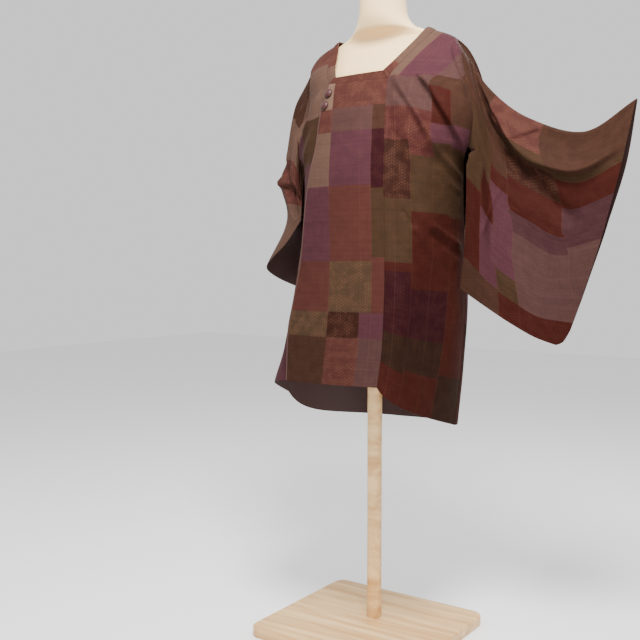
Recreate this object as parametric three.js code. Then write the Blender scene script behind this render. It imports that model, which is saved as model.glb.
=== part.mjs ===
// A michiyuki coat worn by a limbless dress form on a board: a thin cloth coat in its worn shape.
import * as THREE from "three";
import { mergeVertices } from "three/addons/utils/BufferGeometryUtils.js";

// Frame: millimetres, +Z up, the wearer faces -Y and the wearer's left is +X.

// Driving sizes
const CLOTH = 1.8; // wall of the coat, cloth and lining together
const BAND_CLOTH = 2.4; // the neckband is double
const SEAM = 0.3; // space between neighbouring pieces at a seam
const HALF_SEAM = SEAM / 2;
const BAND_SEAM = 0.5; // the band's edge runs aslant to the panels' rows at the nape
const ARMHOLE_SEAM = 0.7; // the armhole's edges twist, so they need a little more
const SHOULDER = 0; // place along the cloth of the shoulder line
const ARMHOLE = 250; // cloth from the shoulder line to the foot of the armhole
const NECK_CORNER = -130; // place along the cloth of the front neckline's corner
const NAPE = 130; // place along the cloth where the neckline meets the centre back
const FRONT_HEM = -756;
const BACK_HEM = 800;
const BUTTON_RADIUS = 10;
const BUTTON_HEIGHT = 7;
const BUTTON_GAP = 0.4; // space between a button's back and the panel
const BUTTON_BACK = 1; // depth of the narrower back of a button
const BUTTON_ACROSS = 0.06; // place across the overlapping panel, from its free edge
const BUTTON_UPPER = -151;
const BUTTON_LOWER = -176;
const STEP_WIDTH = 11; // run of the steep side of a fold that overlaps
const FOLD_FADE = 0.06; // part of a panel's width over which its folds fade out at an edge
const SEAM_BLEND = 0.1; // part of a piece over which its wall turns to its seam's direction
const CORNER_BLEND = 0.15; // the same, towards the corner of an overlapping panel
const AXIS_Y = -60; // middle of the body in Y, which the walls at the side seams face

// Colours
const COLOURS = {
  coat: 0x7a4c4c,
  formCloth: 0xe8d2a6,
  wood: 0xc8a066,
};

// A table is a list of rows, each read by its columns' names.
function table(columns, rows) {
  return rows.map((row) => Object.fromEntries(columns.map((name, i) => [name, row[i]])));
}

// round: above 1 the section is flatter than an oval
// fall: above 1 the cloth drops late, near its outer edge
const PANEL_COLUMNS = ["at", "xIn", "yIn", "zIn", "xOut", "yOut", "zOut", "round", "fall"];

// The left main length: inner edge, then outer edge, at places along the cloth from hem to hem
const BODY_LEFT = table(PANEL_COLUMNS, [
  [-756, 114, -225, 564, 182, -20, 467, 1.0, 0.85],
  [-671, 119, -215, 648, 192, -12, 590, 1.0, 0.9],
  [-583, 117, -205, 736, 200, -12, 712, 1.0, 1.0],
  [-459, 108, -190, 859, 201, -24, 850, 1.0, 1.0],
  [-345, 98, -178, 972, 205, -38, 952, 1.0, 1.0],
  [-280, 93, -168, 1035, 211, -50, 1013, 1.0, 1.0],
  [-250, 91, -163, 1064, 227, -65, 1041, 1.0, 1.0],
  [-190, 84, -148, 1124, 239, -69, 1098, 1.0, 1.0],
  [-130, 78, -126, 1182, 224, -61, 1153, 1.0, 1.0],
  [-75, 97, -94, 1225, 207, -49, 1206, 1.0, 1.0],
  [-38, 112, -52, 1263, 194, -34, 1240, 1.0, 1.0],
  [0, 127, -14, 1293, 175, -8, 1265, 1.0, 1.0],
  [30, 119, 20, 1290, 188, 14, 1247, 1.0, 1.0],
  [65, 94, 54, 1281, 201, 24, 1216, 1.0, 1.0],
  [98, 52, 76, 1274, 211, 30, 1182, 1.0, 1.0],
  [130, 0, 83, 1271, 218, 33, 1152, 1.0, 1.0],
  [190, 0, 92, 1211, 229, 36, 1098, 1.0, 1.0],
  [250, 0, 95, 1151, 222, 34, 1041, 1.0, 1.0],
  [280, 0, 95, 1119, 208, 18, 1009, 1.0, 1.0],
  [345, 0, 93, 1046, 205, 2, 952, 1.0, 1.0],
  [459, 0, 88, 920, 201, -24, 850, 1.0, 1.0],
  [583, 0, 82, 770, 200, -12, 712, 1.0, 1.0],
  [690, 0, 79, 620, 192, -12, 590, 1.0, 1.0],
  [800, 0, 78, 455, 182, -20, 467, 1.0, 1.0],
]);

const BODY_RIGHT = table(PANEL_COLUMNS, [
  [-756, -116, -204, 558, -215, -75, 512, 1.0, 2.0],
  [-671, -116, -191, 640, -188, -66, 610, 1.0, 1.5],
  [-583, -112, -180, 728, -172, -58, 718, 1.1, 1.0],
  [-459, -104, -165, 851, -170, -45, 848, 1.3, 1.0],
  [-345, -98, -156, 964, -168, -44, 945, 1.4, 1.0],
  [-280, -94, -150, 1028, -172, -46, 1008, 1.4, 1.0],
  [-250, -91, -145, 1056, -186, -50, 1036, 1.4, 1.0],
  [-190, -84, -133, 1116, -176, -52, 1094, 1.3, 1.0],
  [-130, -78, -116, 1180, -166, -50, 1150, 1.2, 1.0],
  [-75, -97, -91, 1224, -170, -42, 1204, 1.0, 1.0],
  [-38, -113, -52, 1262, -180, -32, 1239, 1.0, 1.0],
  [0, -127, -14, 1293, -175, -8, 1265, 1.0, 1.0],
  [30, -119, 20, 1290, -184, 11, 1247, 1.0, 1.0],
  [65, -96, 54, 1280, -190, 20, 1214, 1.0, 1.0],
  [98, -53, 76, 1274, -193, 25, 1181, 1.0, 1.0],
  [130, 0, 83, 1271, -195, 27, 1151, 1.0, 1.0],
  [190, 0, 92, 1211, -198, 27, 1096, 1.0, 1.0],
  [250, 0, 95, 1151, -192, 22, 1036, 1.0, 1.0],
  [280, 0, 95, 1119, -182, 8, 1008, 1.0, 1.0],
  [345, 0, 93, 1046, -172, -12, 945, 1.0, 1.0],
  [459, 0, 88, 920, -170, -45, 848, 1.0, 1.0],
  [583, 0, 82, 770, -172, -58, 718, 1.0, 1.0],
  [690, 0, 79, 620, -188, -66, 610, 1.0, 2.0],
  [800, 0, 78, 455, -215, -75, 512, 1.0, 5.0],
]);

// The free edge of each overlapping front panel, and how far its middle stands out
const FREE_EDGE_COLUMNS = ["at", "x", "y", "z", "bulge"];

const OVERLAP_LEFT = table(FREE_EDGE_COLUMNS, [
  [-756, -117, -216, 561, 12],
  [-652, -122, -202, 666, 14],
  [-589, -116, -191, 729, 14],
  [-508, -105, -181, 810, 13],
  [-388, -99, -171, 930, 13],
  [-325, -92, -166, 993, 13],
  [-262, -82, -156, 1056, 12],
  [-200, -79, -146, 1114, 9],
  [-130, -68, -127, 1186, 3],
]);

const OVERLAP_RIGHT = table(FREE_EDGE_COLUMNS, [
  [-756, 96, -214, 566, 8],
  [-583, 98, -192, 736, 9],
  [-388, 84, -168, 930, 8],
  [-250, 76, -149, 1064, 6],
  [-200, 72, -137, 1114, 4],
  [-130, 62, -119, 1186, 1],
]);

// The neckline's opening edge from each front corner to the nape
const NECKLINE_LEFT = table(["at", "x", "y", "z"], [
  [-130, 64, -124, 1200],
  [-75, 80, -90, 1233],
  [-38, 95, -51, 1270],
  [0, 111, -17, 1302],
  [30, 104, 12, 1301],
  [65, 82, 42, 1295],
  [98, 45, 60, 1290],
  [130, 0, 66, 1288],
]);

const NECKLINE_RIGHT = table(["at", "x", "y", "z"], [
  [-130, -60, -114, 1198],
  [-75, -79, -87, 1231],
  [-38, -97, -51, 1269],
  [0, -112, -17, 1301],
  [30, -105, 12, 1300],
  [65, -83, 42, 1294],
  [98, -46, 60, 1290],
  [130, 0, 66, 1288],
]);

// The left sleeve's middle surface, from the top fold down, and half the space between its layers
const SLEEVE_LEFT = table(["at", "inner", "first", "middle", "third", "cuff"], [
  [0.0, [177, -8, 1262, 5], [240, 0, 1166, 5], [328, 0, 1096, 5], [436, 0, 1060, 5], [538, 0, 1113, 5]],
  [0.25, [220, -13, 1153, 48], [258, -6, 1060, 24], [338, 0, 1000, 14], [428, 2, 965, 9], [518, 0, 1000, 14]],
  [0.5, [226, -16, 1041, 48], [260, -14, 955, 26], [333, -5, 900, 14], [408, 0, 865, 8], [487, 0, 885, 8]],
  [0.58, [231, -21, 998, 44], [261, -17, 930, 25], [331, -7, 880, 13], [404, -1, 845, 8], [481, 0, 863, 7]],
  [0.75, [224, -40, 900, 32], [262, -30, 835, 20], [322, -16, 790, 11], [382, -8, 760, 7], [450, 0, 765, 4]],
  [1.0, [213, -66, 756, 2], [260, -52, 722, 2], [309, -36, 688, 2], [358, -22, 660, 2], [410, -8, 642, 2]],
]);

// The right sleeve, from the armhole down: it hangs open towards the body, from its back to its front
const SLEEVE_RIGHT = table(["at", "back", "backOuter", "outer", "frontOuter", "front"], [
  [0.0, [-193, 22, 1036], [-195, 27, 1156], [-176, -8, 1262], [-166, -50, 1155], [-187, -50, 1036]],
  [0.2, [-212, 32, 990], [-226, 34, 1110], [-243, 0, 1180], [-200, -54, 1120], [-188, -56, 1006]],
  [0.4, [-226, 38, 930], [-250, 36, 1030], [-266, 0, 1085], [-207, -60, 1060], [-187, -61, 975]],
  [0.6, [-236, 40, 870], [-262, 36, 950], [-279, -10, 996], [-208, -66, 990], [-184, -66, 950]],
  [0.8, [-240, 40, 810], [-256, 30, 870], [-257, -14, 905], [-209, -74, 918], [-181, -72, 927]],
  [1.0, [-238, 36, 745], [-258, 16, 752], [-306, -38, 792], [-216, -84, 852], [-178, -78, 903]],
]);

// Below the armhole the left sleeve's front layer hangs forward and closer to the body at its inner edge
const FRONT_EDGE = table(["at", "x", "y"], [
  [0.0, 0, 0],
  [0.02, 4, -6],
  [0.05, -12, -32],
  [0.1, -12, -32],
  [0.2, -10, -26],
  [0.3, -6, -16],
  [0.4, -2, -5],
  [0.5, 0, 0],
]);
const FRONT_EDGE_REACH = 0.3;

// Folds of a main length: from one place to another, in fractions across and millimetres along
const FOLD_COLUMNS = ["u0", "at0", "u1", "at1", "height", "width", "step"];

const FOLDS_LEFT = table(FOLD_COLUMNS, [
  [0.08, -120, 0.93, -262, 9, 20, -1],
  [0.02, -150, 0.62, -300, 6, 14, 0],
  [0.02, -215, 0.5, -420, -5, 16, 0],
  [0.3, -330, 0.75, -520, 5, 20, 0],
  [0.55, -430, 0.6, -740, -5, 26, 0],
  [0.85, -420, 0.85, -750, 6, 24, 0],
]);

const FOLDS_RIGHT = table(FOLD_COLUMNS, [
  [0.1, -125, 0.85, -262, 8, 16, 0],
  [0.3, -330, 0.5, -740, -6, 26, 0],
  [0.75, -420, 0.7, -750, 7, 24, 0],
]);

// Folds of the sleeves, in fractions of their width and depth
const FOLDS_SLEEVE_FRONT = table(FOLD_COLUMNS, [
  [0.08, 0.0, 0.42, 0.32, -11, 18, 0],
  [0.34, 0.22, 0.85, 0.46, -8, 20, 0],
  [0.26, 0.08, 0.44, 0.24, 8, 14, 0],
  [0.4, 0.2, 0.95, 0.22, 7, 18, 0],
  [0.38, 0.0, 0.3, 0.14, -4, 9, 0],
]);

const FOLDS_SLEEVE_BACK = table(FOLD_COLUMNS, [
  [0.1, 0.02, 0.5, 0.4, -8, 20, 0],
  [0.35, 0.2, 0.9, 0.3, 6, 20, 0],
]);

const FOLDS_SLEEVE_RIGHT = table(FOLD_COLUMNS, [
  [0.62, 0.1, 0.66, 0.62, -7, 14, 0],
  [0.78, 0.02, 0.78, 0.62, 6, 12, 0],
  [0.5, 0.62, 1.02, 0.62, 8, 26, 1],
]);

// The dress form in level rings: height, half width, half depth, middle in Y, squareness
const FORM_RINGS = table(["z", "halfX", "halfY", "yMid", "power"], [
  [800, 138, 92, -46, 2.2],
  [860, 134, 88, -44, 2.2],
  [930, 128, 84, -42, 2.2],
  [1010, 134, 88, -38, 2.2],
  [1090, 146, 92, -32, 2.3],
  [1160, 156, 86, -24, 2.4],
  [1215, 163, 66, -16, 2.4],
  [1245, 166, 44, -11, 2.3],
  [1263, 162, 30, -10, 2.2],
  [1276.8, 149, 21, -9, 2.1],
  [1289.8, 127, 19, -8, 2.0],
  [1298.6, 104, 26, -8, 2.0],
  [1312, 74, 42, -14, 2.0],
  [1342, 55, 50, -18, 2.0],
  [1380, 51, 51, -20, 2.0],
  [1432, 51, 51, -20, 2.0],
  [1440, 47, 47, -20, 2.0],
]);

const BOARD = { x: 390, yFront: -250, yBack: 110, height: 22, corner: 26 };
const POLE_RADIUS = 16;
const POLE_SIDES = 24;

// Smooth reading between knots that never swings past them
function hermite(knots, values, t) {
  const last = knots.length - 1;
  let i = 0;
  while (i < last - 1 && t > knots[i + 1]) i += 1;
  const slope = (k) => (values[k + 1] - values[k]) / (knots[k + 1] - knots[k]);
  const tangent = (k) => {
    if (k === 0) return slope(0);
    if (k === last) return slope(last - 1);
    const [before, after] = [slope(k - 1), slope(k)];
    return before * after <= 0 ? 0 : (2 * before * after) / (before + after);
  };
  const span = knots[i + 1] - knots[i];
  const s = (t - knots[i]) / span;
  const s2 = s * s;
  const s3 = s2 * s;
  return (
    (2 * s3 - 3 * s2 + 1) * values[i] +
    (s3 - 2 * s2 + s) * span * tangent(i) +
    (3 * s2 - 2 * s3) * values[i + 1] +
    (s3 - s2) * span * tangent(i + 1)
  );
}

const knotsOf = (rows) => rows.map((row) => row.at);
const smooth = (rows, column, t) => hermite(knotsOf(rows), rows.map((row) => row[column]), t);

// A net's numbers at u across its columns and t down its rows
function net(rows, columns, u, t) {
  const places = columns.map((_, i) => i / (columns.length - 1));
  const size = rows[0][columns[0]].length;
  return Array.from({ length: size }, (_, k) => {
    const line = columns.map((name) => hermite(knotsOf(rows), rows.map((row) => row[name][k]), t));
    return hermite(places, line, u);
  });
}

const vec = (x, y, z) => new THREE.Vector3(x, y, z);
const clamp01 = (x) => Math.min(1, Math.max(0, x));
const ease = (x) => clamp01(x) * clamp01(x) * (3 - 2 * clamp01(x));
const mix = (a, b, w) => a.clone().multiplyScalar(1 - w).addScaledVector(b, w);

// Evenly spaced numbers, both ends included
function spread(from, to, steps) {
  return Array.from({ length: steps + 1 }, (_, i) => from + ((to - from) * i) / steps);
}

// Numerical derivative and normal of a surface function
const STEP = 1e-3;
function across(surface, u, v) {
  const a = Math.max(0, u - STEP);
  const b = Math.min(1, u + STEP);
  return surface(b, v).sub(surface(a, v)).normalize();
}

function along(surface, u, v, range) {
  const h = STEP * (range[1] - range[0]);
  const a = Math.max(range[0], v - h);
  const b = Math.min(range[1], v + h);
  return surface(u, b).sub(surface(u, a)).normalize();
}

function normalOf(surface, u, v, range) {
  return across(surface, u, v).cross(along(surface, u, v, range)).normalize();
}

// A closed wall between an outer surface and the points that lie a thickness away along its inward direction
function wall(name, colour, us, vs, outer, inward, thickness) {
  const nu = us.length;
  const nv = vs.length;
  const points = [];
  for (const layer of [0, thickness]) {
    for (const v of vs) {
      for (const u of us) points.push(outer(u, v).addScaledVector(inward(u, v), layer));
    }
  }
  const id = (layer, i, j) => layer * nu * nv + j * nu + i;
  const quads = [];
  for (let j = 0; j < nv - 1; j += 1) {
    for (let i = 0; i < nu - 1; i += 1) {
      quads.push([id(0, i, j), id(0, i + 1, j), id(0, i + 1, j + 1), id(0, i, j + 1)]);
      quads.push([id(1, i, j), id(1, i, j + 1), id(1, i + 1, j + 1), id(1, i + 1, j)]);
    }
    quads.push([id(0, 0, j), id(0, 0, j + 1), id(1, 0, j + 1), id(1, 0, j)]);
    quads.push([id(0, nu - 1, j), id(1, nu - 1, j), id(1, nu - 1, j + 1), id(0, nu - 1, j + 1)]);
  }
  for (let i = 0; i < nu - 1; i += 1) {
    quads.push([id(0, i, 0), id(1, i, 0), id(1, i + 1, 0), id(0, i + 1, 0)]);
    quads.push([id(0, i, nv - 1), id(0, i + 1, nv - 1), id(1, i + 1, nv - 1), id(1, i, nv - 1)]);
  }
  const index = quads.flatMap(([a, b, c, d]) => [a, b, c, a, c, d]);
  return solid(name, colour, points, index);
}

// A named mesh from points and triangles, turned so that its faces point out
function solid(name, colour, points, index) {
  let volume = 0;
  for (let k = 0; k < index.length; k += 3) {
    const [a, b, c] = [points[index[k]], points[index[k + 1]], points[index[k + 2]]];
    volume += a.dot(b.clone().cross(c)) / 6;
  }
  const order = volume < 0 ? index.slice().reverse() : index;
  const geometry = new THREE.BufferGeometry().setFromPoints(points);
  geometry.setIndex(order);
  geometry.computeVertexNormals();
  const material = new THREE.MeshStandardMaterial({ color: colour, roughness: 0.6, metalness: 0 });
  const mesh = new THREE.Mesh(geometry, material);
  mesh.name = name;
  return mesh;
}

// How far the folds lift a place on a panel, whose u and place are turned into millimetres
function foldHeight(folds, u, at, size) {
  return folds.reduce((sum, fold) => {
    const [ax, ay] = [fold.u0 * size.across, fold.at0 * size.along];
    const [dx, dy] = [fold.u1 * size.across - ax, fold.at1 * size.along - ay];
    const length = Math.hypot(dx, dy);
    const [px, py] = [u * size.across - ax, at * size.along - ay];
    const run = (px * dx + py * dy) / length;
    const side = (px * dy - py * dx) / length;
    const taper = ease(run / (0.2 * length)) * ease((length - run) / (0.2 * length));
    if (!fold.step) return sum + fold.height * taper * Math.exp(-((side / fold.width) ** 2));
    const lift = Math.tanh((side * fold.step) / STEP_WIDTH);
    const reach = side * fold.step > 0 ? 2.2 * fold.width : fold.width;
    return sum + fold.height * lift * taper * Math.exp(-Math.abs(side) / reach);
  }, 0);
}

// Body panels

const BODY_SIZE = { across: 200, along: 1 };
const BODY_RANGE = [FRONT_HEM, BACK_HEM];

// A point of a main length before its folds: a quarter oval from the inner edge to the outer edge
function panelPoint(rows, u, at) {
  const get = (column) => smooth(rows, column, at);
  const angle = (u * Math.PI) / 2;
  const round = get("round");
  const out = Math.sin(angle) ** round;
  const stay = Math.max(0, Math.cos(angle)) ** round;
  return vec(
    get("xIn") + (get("xOut") - get("xIn")) * out,
    get("yOut") + (get("yIn") - get("yOut")) * stay,
    get("zIn") + (get("zOut") - get("zIn")) * u ** get("fall"),
  );
}

// One main length: its surface with folds, and the direction into the cloth
function mainLength(rows, folds, side) {
  const base = (u, at) => panelPoint(rows, u, at);
  const out = (u, at) => normalOf(base, u, at, BODY_RANGE).multiplyScalar(side);
  const surface = (u, at) => {
    const edge = ease(u / FOLD_FADE) * ease((1 - u) / FOLD_FADE);
    return base(u, at).addScaledVector(out(u, at), edge * foldHeight(folds, u, at, BODY_SIZE));
  };
  const own = (u, at) => normalOf(surface, u, at, BODY_RANGE).multiplyScalar(-side);
  const inward = (u, at) => {
    const sideSeam = Math.abs(at) > ARMHOLE ? 1 - ease((1 - u) / SEAM_BLEND) : 0;
    const backSeam = at >= NAPE ? 1 - ease(u / SEAM_BLEND) : 0;
    const direction = own(u, at);
    const p = surface(u, at);
    const toAxis = vec(-p.x, AXIS_Y - p.y, 0).normalize();
    const level = vec(0, direction.y, direction.z).normalize();
    return mix(mix(direction, toAxis, sideSeam), level, backSeam).normalize();
  };
  return { surface, inward };
}

const left = mainLength(BODY_LEFT, FOLDS_LEFT, 1);
const right = mainLength(BODY_RIGHT, FOLDS_RIGHT, -1);

// Draws a surface's named edges in along the surface, each by its own distance
const CHORD = 0.03;
function trimmed(surface, ends, range) {
  const reach = CHORD * (range[1] - range[0]);
  return (u, v) => {
    const edge = surface(u, v);
    const p = edge.clone();
    const draw = (next, distance) => p.addScaledVector(next.sub(edge).normalize(), distance);
    if (ends.start && u === 0) draw(surface(CHORD, v), ends.start);
    if (ends.end && u === 1) draw(surface(1 - CHORD, v), ends.end);
    if (ends.first && v === range[0]) draw(surface(u, v + reach), ends.first);
    if (ends.last && v === range[1]) draw(surface(u, v - reach), ends.last);
    return p;
  };
}

// Places along the cloth where the panels are cut into facets, shared by pieces that meet
const FRONT_PLACES = [...spread(FRONT_HEM, -ARMHOLE, 11), ...spread(-ARMHOLE, NECK_CORNER, 6).slice(1)];
const SHOULDER_STEPS = [10, 32, 55, 80, 105, 130];
const TOP_PLACES = [...SHOULDER_STEPS.map((d) => -d).reverse(), SHOULDER, ...SHOULDER_STEPS];
const BACK_PLACES = [...spread(NAPE, ARMHOLE, 4), ...spread(ARMHOLE, BACK_HEM, 11).slice(1)];
const BODY_PLACES = [...FRONT_PLACES, ...TOP_PLACES.slice(1), ...BACK_PLACES.slice(1)];
const BODY_ACROSS = spread(0, 1, 16);

function bodyPanel(name, panel) {
  const outer = trimmed(panel.surface, { start: HALF_SEAM, end: HALF_SEAM }, BODY_RANGE);
  return wall(name, COLOURS.coat, BODY_ACROSS, BODY_PLACES, outer, panel.inward, CLOTH);
}

// An overlapping front panel, from its free edge to the seam with its main length
function overlapPanel(free, rows, body, side) {
  const surface = (u, at) => {
    const edge = vec(smooth(free, "x", at), smooth(free, "y", at), smooth(free, "z", at));
    const bulge = 4 * u * (1 - u) * smooth(free, "bulge", at);
    return mix(edge, panelPoint(rows, 0, at), u).add(vec(0, -bulge, 0));
  };
  const range = [FRONT_HEM, NECK_CORNER];
  const own = (u, at) => normalOf(surface, u, at, range).multiplyScalar(-side);
  const inward = (u, at) => {
    const seam = 1 - ease((1 - u) / CORNER_BLEND);
    return mix(own(u, at), body.inward(0, at), seam).normalize();
  };
  return { surface, inward, range };
}

const overlapLeft = overlapPanel(OVERLAP_LEFT, BODY_LEFT, left, 1);
const overlapRight = overlapPanel(OVERLAP_RIGHT, BODY_RIGHT, right, -1);
const OVERLAP_ACROSS = spread(0, 1, 8);

function overlapWall(name, panel) {
  const outer = trimmed(panel.surface, { end: HALF_SEAM, last: HALF_SEAM }, panel.range);
  return wall(name, COLOURS.coat, OVERLAP_ACROSS, FRONT_PLACES, outer, panel.inward, CLOTH);
}

// Neckband: runs from the left front corner round the nape to the right front corner

const neckPoint = (rows, at) => vec(smooth(rows, "x", at), smooth(rows, "y", at), smooth(rows, "z", at));
const BAND_END = 2 * NAPE - NECK_CORNER;
const BAND_CROWN = 1.5; // how far the middle of the band stands out
const MITRE_INWARD = vec(0.1, 1, -0.35).normalize(); // into the cloth at the corner's mitre
const MITRE_RUN = 20; // cloth over which the wall turns to the mitre's direction

function bandPlace(w) {
  const onLeft = w <= NAPE;
  return { onLeft, at: onLeft ? w : 2 * NAPE - w };
}

// u runs from the opening out to the seam with the main length
function bandSurface(u, w) {
  const { onLeft, at } = bandPlace(w);
  const opening = neckPoint(onLeft ? NECKLINE_LEFT : NECKLINE_RIGHT, at);
  const seam = panelPoint(onLeft ? BODY_LEFT : BODY_RIGHT, 0, at);
  const p = mix(opening, seam, u);
  return p.addScaledVector((onLeft ? left : right).inward(0, at), -BAND_CROWN * 4 * u * (1 - u));
}

function bandInward(u, w) {
  const { onLeft, at } = bandPlace(w);
  const mitre = onLeft ? 1 - ease((at - NECK_CORNER) / MITRE_RUN) : 0;
  return mix((onLeft ? left : right).inward(0, at), MITRE_INWARD, mitre).normalize();
}

const BAND_ACROSS = spread(0, 1, 3);
const RETURN_PLACES = TOP_PLACES.slice(0, -1).reverse();
const BAND_PLACES = [...TOP_PLACES, ...RETURN_PLACES.map((at) => 2 * NAPE - at)];

function bandPiece(name, from, to, ends) {
  const places = BAND_PLACES.filter((w) => w >= from && w <= to);
  const range = [places[0], places[places.length - 1]];
  const outer = trimmed(bandSurface, { end: BAND_SEAM, ...ends }, range);
  return wall(name, COLOURS.coat, BAND_ACROSS, places, outer, bandInward, BAND_CLOTH);
}

// The band across the front: v runs from the top of the overlapping panel up to the opening
const OPENING_LEFT_END = vec(-60, -121, 1199);
const OPENING_BULGE = 2; // how far the middle of the band's upper edge stands out

function frontBandSurface(u, v) {
  const foot = overlapLeft.surface(u, NECK_CORNER);
  const opening = mix(OPENING_LEFT_END, neckPoint(NECKLINE_LEFT, NECK_CORNER), u);
  opening.y -= OPENING_BULGE * 4 * u * (1 - u);
  return mix(foot, opening, v);
}

function frontBandInward(u) {
  const foot = overlapLeft.inward(u, NECK_CORNER);
  return mix(foot, MITRE_INWARD, 1 - ease((1 - u) / CORNER_BLEND)).normalize();
}

// Sleeves

const SLEEVE_SPRING = 9; // how far a sleeve springs out just past its seam
const NEAR_EDGE = 0.97; // place across a main length that shows which way its edge points

// The place on a main length's armhole edge that a sleeve is sewn to, and the way out of that edge
function armholeEdge(body, at) {
  const edge = body.surface(1, at);
  const outwards = edge.clone().sub(body.surface(NEAR_EDGE, at)).normalize();
  return { target: edge.addScaledVector(outwards, ARMHOLE_SEAM), outwards };
}

// Left sleeve: one folded length, v runs from the back layer's foot (-1) over the fold to the front's (1)

const LEFT_COLUMNS = ["inner", "first", "middle", "third", "cuff"];
const FOLD_PART = 10 / 500; // part of the sleeve's depth that the round top fold takes
const SLEEVE_SIZE = { across: 460, along: 490 };
const SLEEVE_RANGE = [-1, 1];
const ARMHOLE_PLACES = BODY_PLACES.filter((at) => Math.abs(at) <= ARMHOLE);
const SLEEVE_DEPTH = 2 * ARMHOLE; // cloth from the top fold to the foot of the sleeve

// The sleeve's lower corner at the cuff is rounded, in fractions of its width and depth
const CORNER = { across: 0.07, along: 0.07, cut: 0.3 };

const SLEEVE_ACROSS = [...spread(0, 1 - CORNER.across, 15), 1 - CORNER.across / 2, 1];

function rounded(u, t) {
  const a = clamp01((u - 1 + CORNER.across) / CORNER.across);
  const b = clamp01((t - 1 + CORNER.along) / CORNER.along);
  const pull = CORNER.cut * Math.min(a, b);
  return [u - CORNER.across * a * pull, t - CORNER.along * b * pull];
}

function sleeveMiddle(u, t) {
  const [x, y, z] = net(SLEEVE_LEFT, LEFT_COLUMNS, ...rounded(u, t));
  return vec(x, y, z);
}

function sleeveLayers(u, v) {
  const t = Math.abs(v);
  const half = net(SLEEVE_LEFT, LEFT_COLUMNS, ...rounded(u, t))[3];
  const forward = normalOf(sleeveMiddle, u, Math.min(Math.max(t, 0.01), 0.99), [0, 1]);
  if (forward.y > 0) forward.negate();
  const round = t < FOLD_PART ? Math.sqrt(1 - (1 - t / FOLD_PART) ** 2) : 1;
  const layer = v < 0 ? FOLDS_SLEEVE_BACK : FOLDS_SLEEVE_FRONT;
  const lift = foldHeight(layer, u, t, SLEEVE_SIZE) * ease(u / 0.08);
  return sleeveMiddle(u, t).addScaledVector(forward, Math.sign(v) * (half * round + lift));
}

// How far the sleeve's inner edge is moved to meet the armhole
function armholeShift(v) {
  const sewn = THREE.MathUtils.clamp(v, -0.5, 0.5);
  return armholeEdge(left, -SLEEVE_DEPTH * sewn).target.sub(sleeveLayers(0, sewn));
}

function sleeveLeftSurface(u, v) {
  const below = Math.abs(v) - 0.5;
  const reach = (1 - clamp01(u / 0.5)) ** 2;
  const spring = SLEEVE_SPRING * ease(below / 0.06) * (1 - ease((below - 0.2) / 0.3));
  const p = sleeveLayers(u, v).add(vec(spring * reach, 0, 0));
  if (v > 0.5) {
    const edge = (1 - clamp01(u / FRONT_EDGE_REACH)) ** 2;
    p.add(vec(smooth(FRONT_EDGE, "x", below) * edge, smooth(FRONT_EDGE, "y", below) * edge, 0));
  }
  return p.addScaledVector(armholeShift(v), (1 - ease(below / 0.4)) * reach);
}

function sleeveLeftInward(u, v) {
  const own = normalOf(sleeveLeftSurface, u, v, SLEEVE_RANGE);
  if (Math.abs(v) > 0.5) return own;
  return mix(own, left.inward(1, -SLEEVE_DEPTH * v), 1 - ease(u / 0.12)).normalize();
}

const LOWER_PLACES = spread(0.5, 1, 9).slice(1);
const FRONT_START = 0.53; // an extra place where the front layer leaves the armhole's foot
const SLEEVE_LEFT_PLACES = [
  ...LOWER_PLACES.slice().reverse().map((v) => -v),
  ...ARMHOLE_PLACES.map((at) => -at / SLEEVE_DEPTH),
  FRONT_START,
  ...LOWER_PLACES,
];

// Right sleeve: u runs round the armhole from its back foot over the shoulder to its front foot

const RIGHT_COLUMNS = ["back", "backOuter", "outer", "frontOuter", "front"];
const RIGHT_SIZE = { across: 400, along: 430 };

function rightLayer(u, t) {
  const [x, y, z] = net(SLEEVE_RIGHT, RIGHT_COLUMNS, u, t);
  return vec(x, y, z);
}

function sleeveRightSurface(u, t) {
  const at = ARMHOLE * (1 - 2 * u);
  const { target, outwards } = armholeEdge(right, at);
  const shift = target.sub(rightLayer(u, 0));
  const p = rightLayer(u, t).addScaledVector(shift, (1 - t) ** 3);
  p.addScaledVector(outwards, SLEEVE_SPRING * ease(t / 0.12) * (1 - t) ** 2);
  const out = normalOf(rightLayer, u, t, [0, 1]).negate();
  return p.addScaledVector(out, ease(t / 0.1) * foldHeight(FOLDS_SLEEVE_RIGHT, u, t, RIGHT_SIZE));
}

function sleeveRightInward(u, t) {
  const own = normalOf(sleeveRightSurface, u, t, [0, 1]);
  return mix(own, right.inward(1, ARMHOLE * (1 - 2 * u)), 1 - ease(t / 0.1)).normalize();
}

// A domed button that lies on the overlapping panel
const BUTTON_SIDES = 20;
function button(name, u, at) {
  const profile = spread(0, Math.PI / 2, 4).map((angle) =>
    new THREE.Vector2(BUTTON_RADIUS * Math.sin(angle), BUTTON_HEIGHT * Math.cos(angle)),
  );
  const back = [new THREE.Vector2(0.75 * BUTTON_RADIUS, -BUTTON_BACK), new THREE.Vector2(0, -BUTTON_BACK)];
  const outline = [...profile, ...back].reverse();
  const geometry = new THREE.LatheGeometry(outline, BUTTON_SIDES);
  geometry.deleteAttribute("uv");
  geometry.deleteAttribute("normal");
  const round = mergeVertices(geometry, 1e-3);
  round.computeVertexNormals();
  const material = new THREE.MeshStandardMaterial({ color: COLOURS.coat, roughness: 0.5 });
  const mesh = new THREE.Mesh(round, material);
  const out = overlapLeft.inward(u, at).negate();
  mesh.quaternion.setFromUnitVectors(vec(0, 1, 0), out);
  mesh.position.copy(overlapLeft.surface(u, at).addScaledVector(out, BUTTON_BACK + BUTTON_GAP));
  mesh.name = name;
  return mesh;
}

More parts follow.
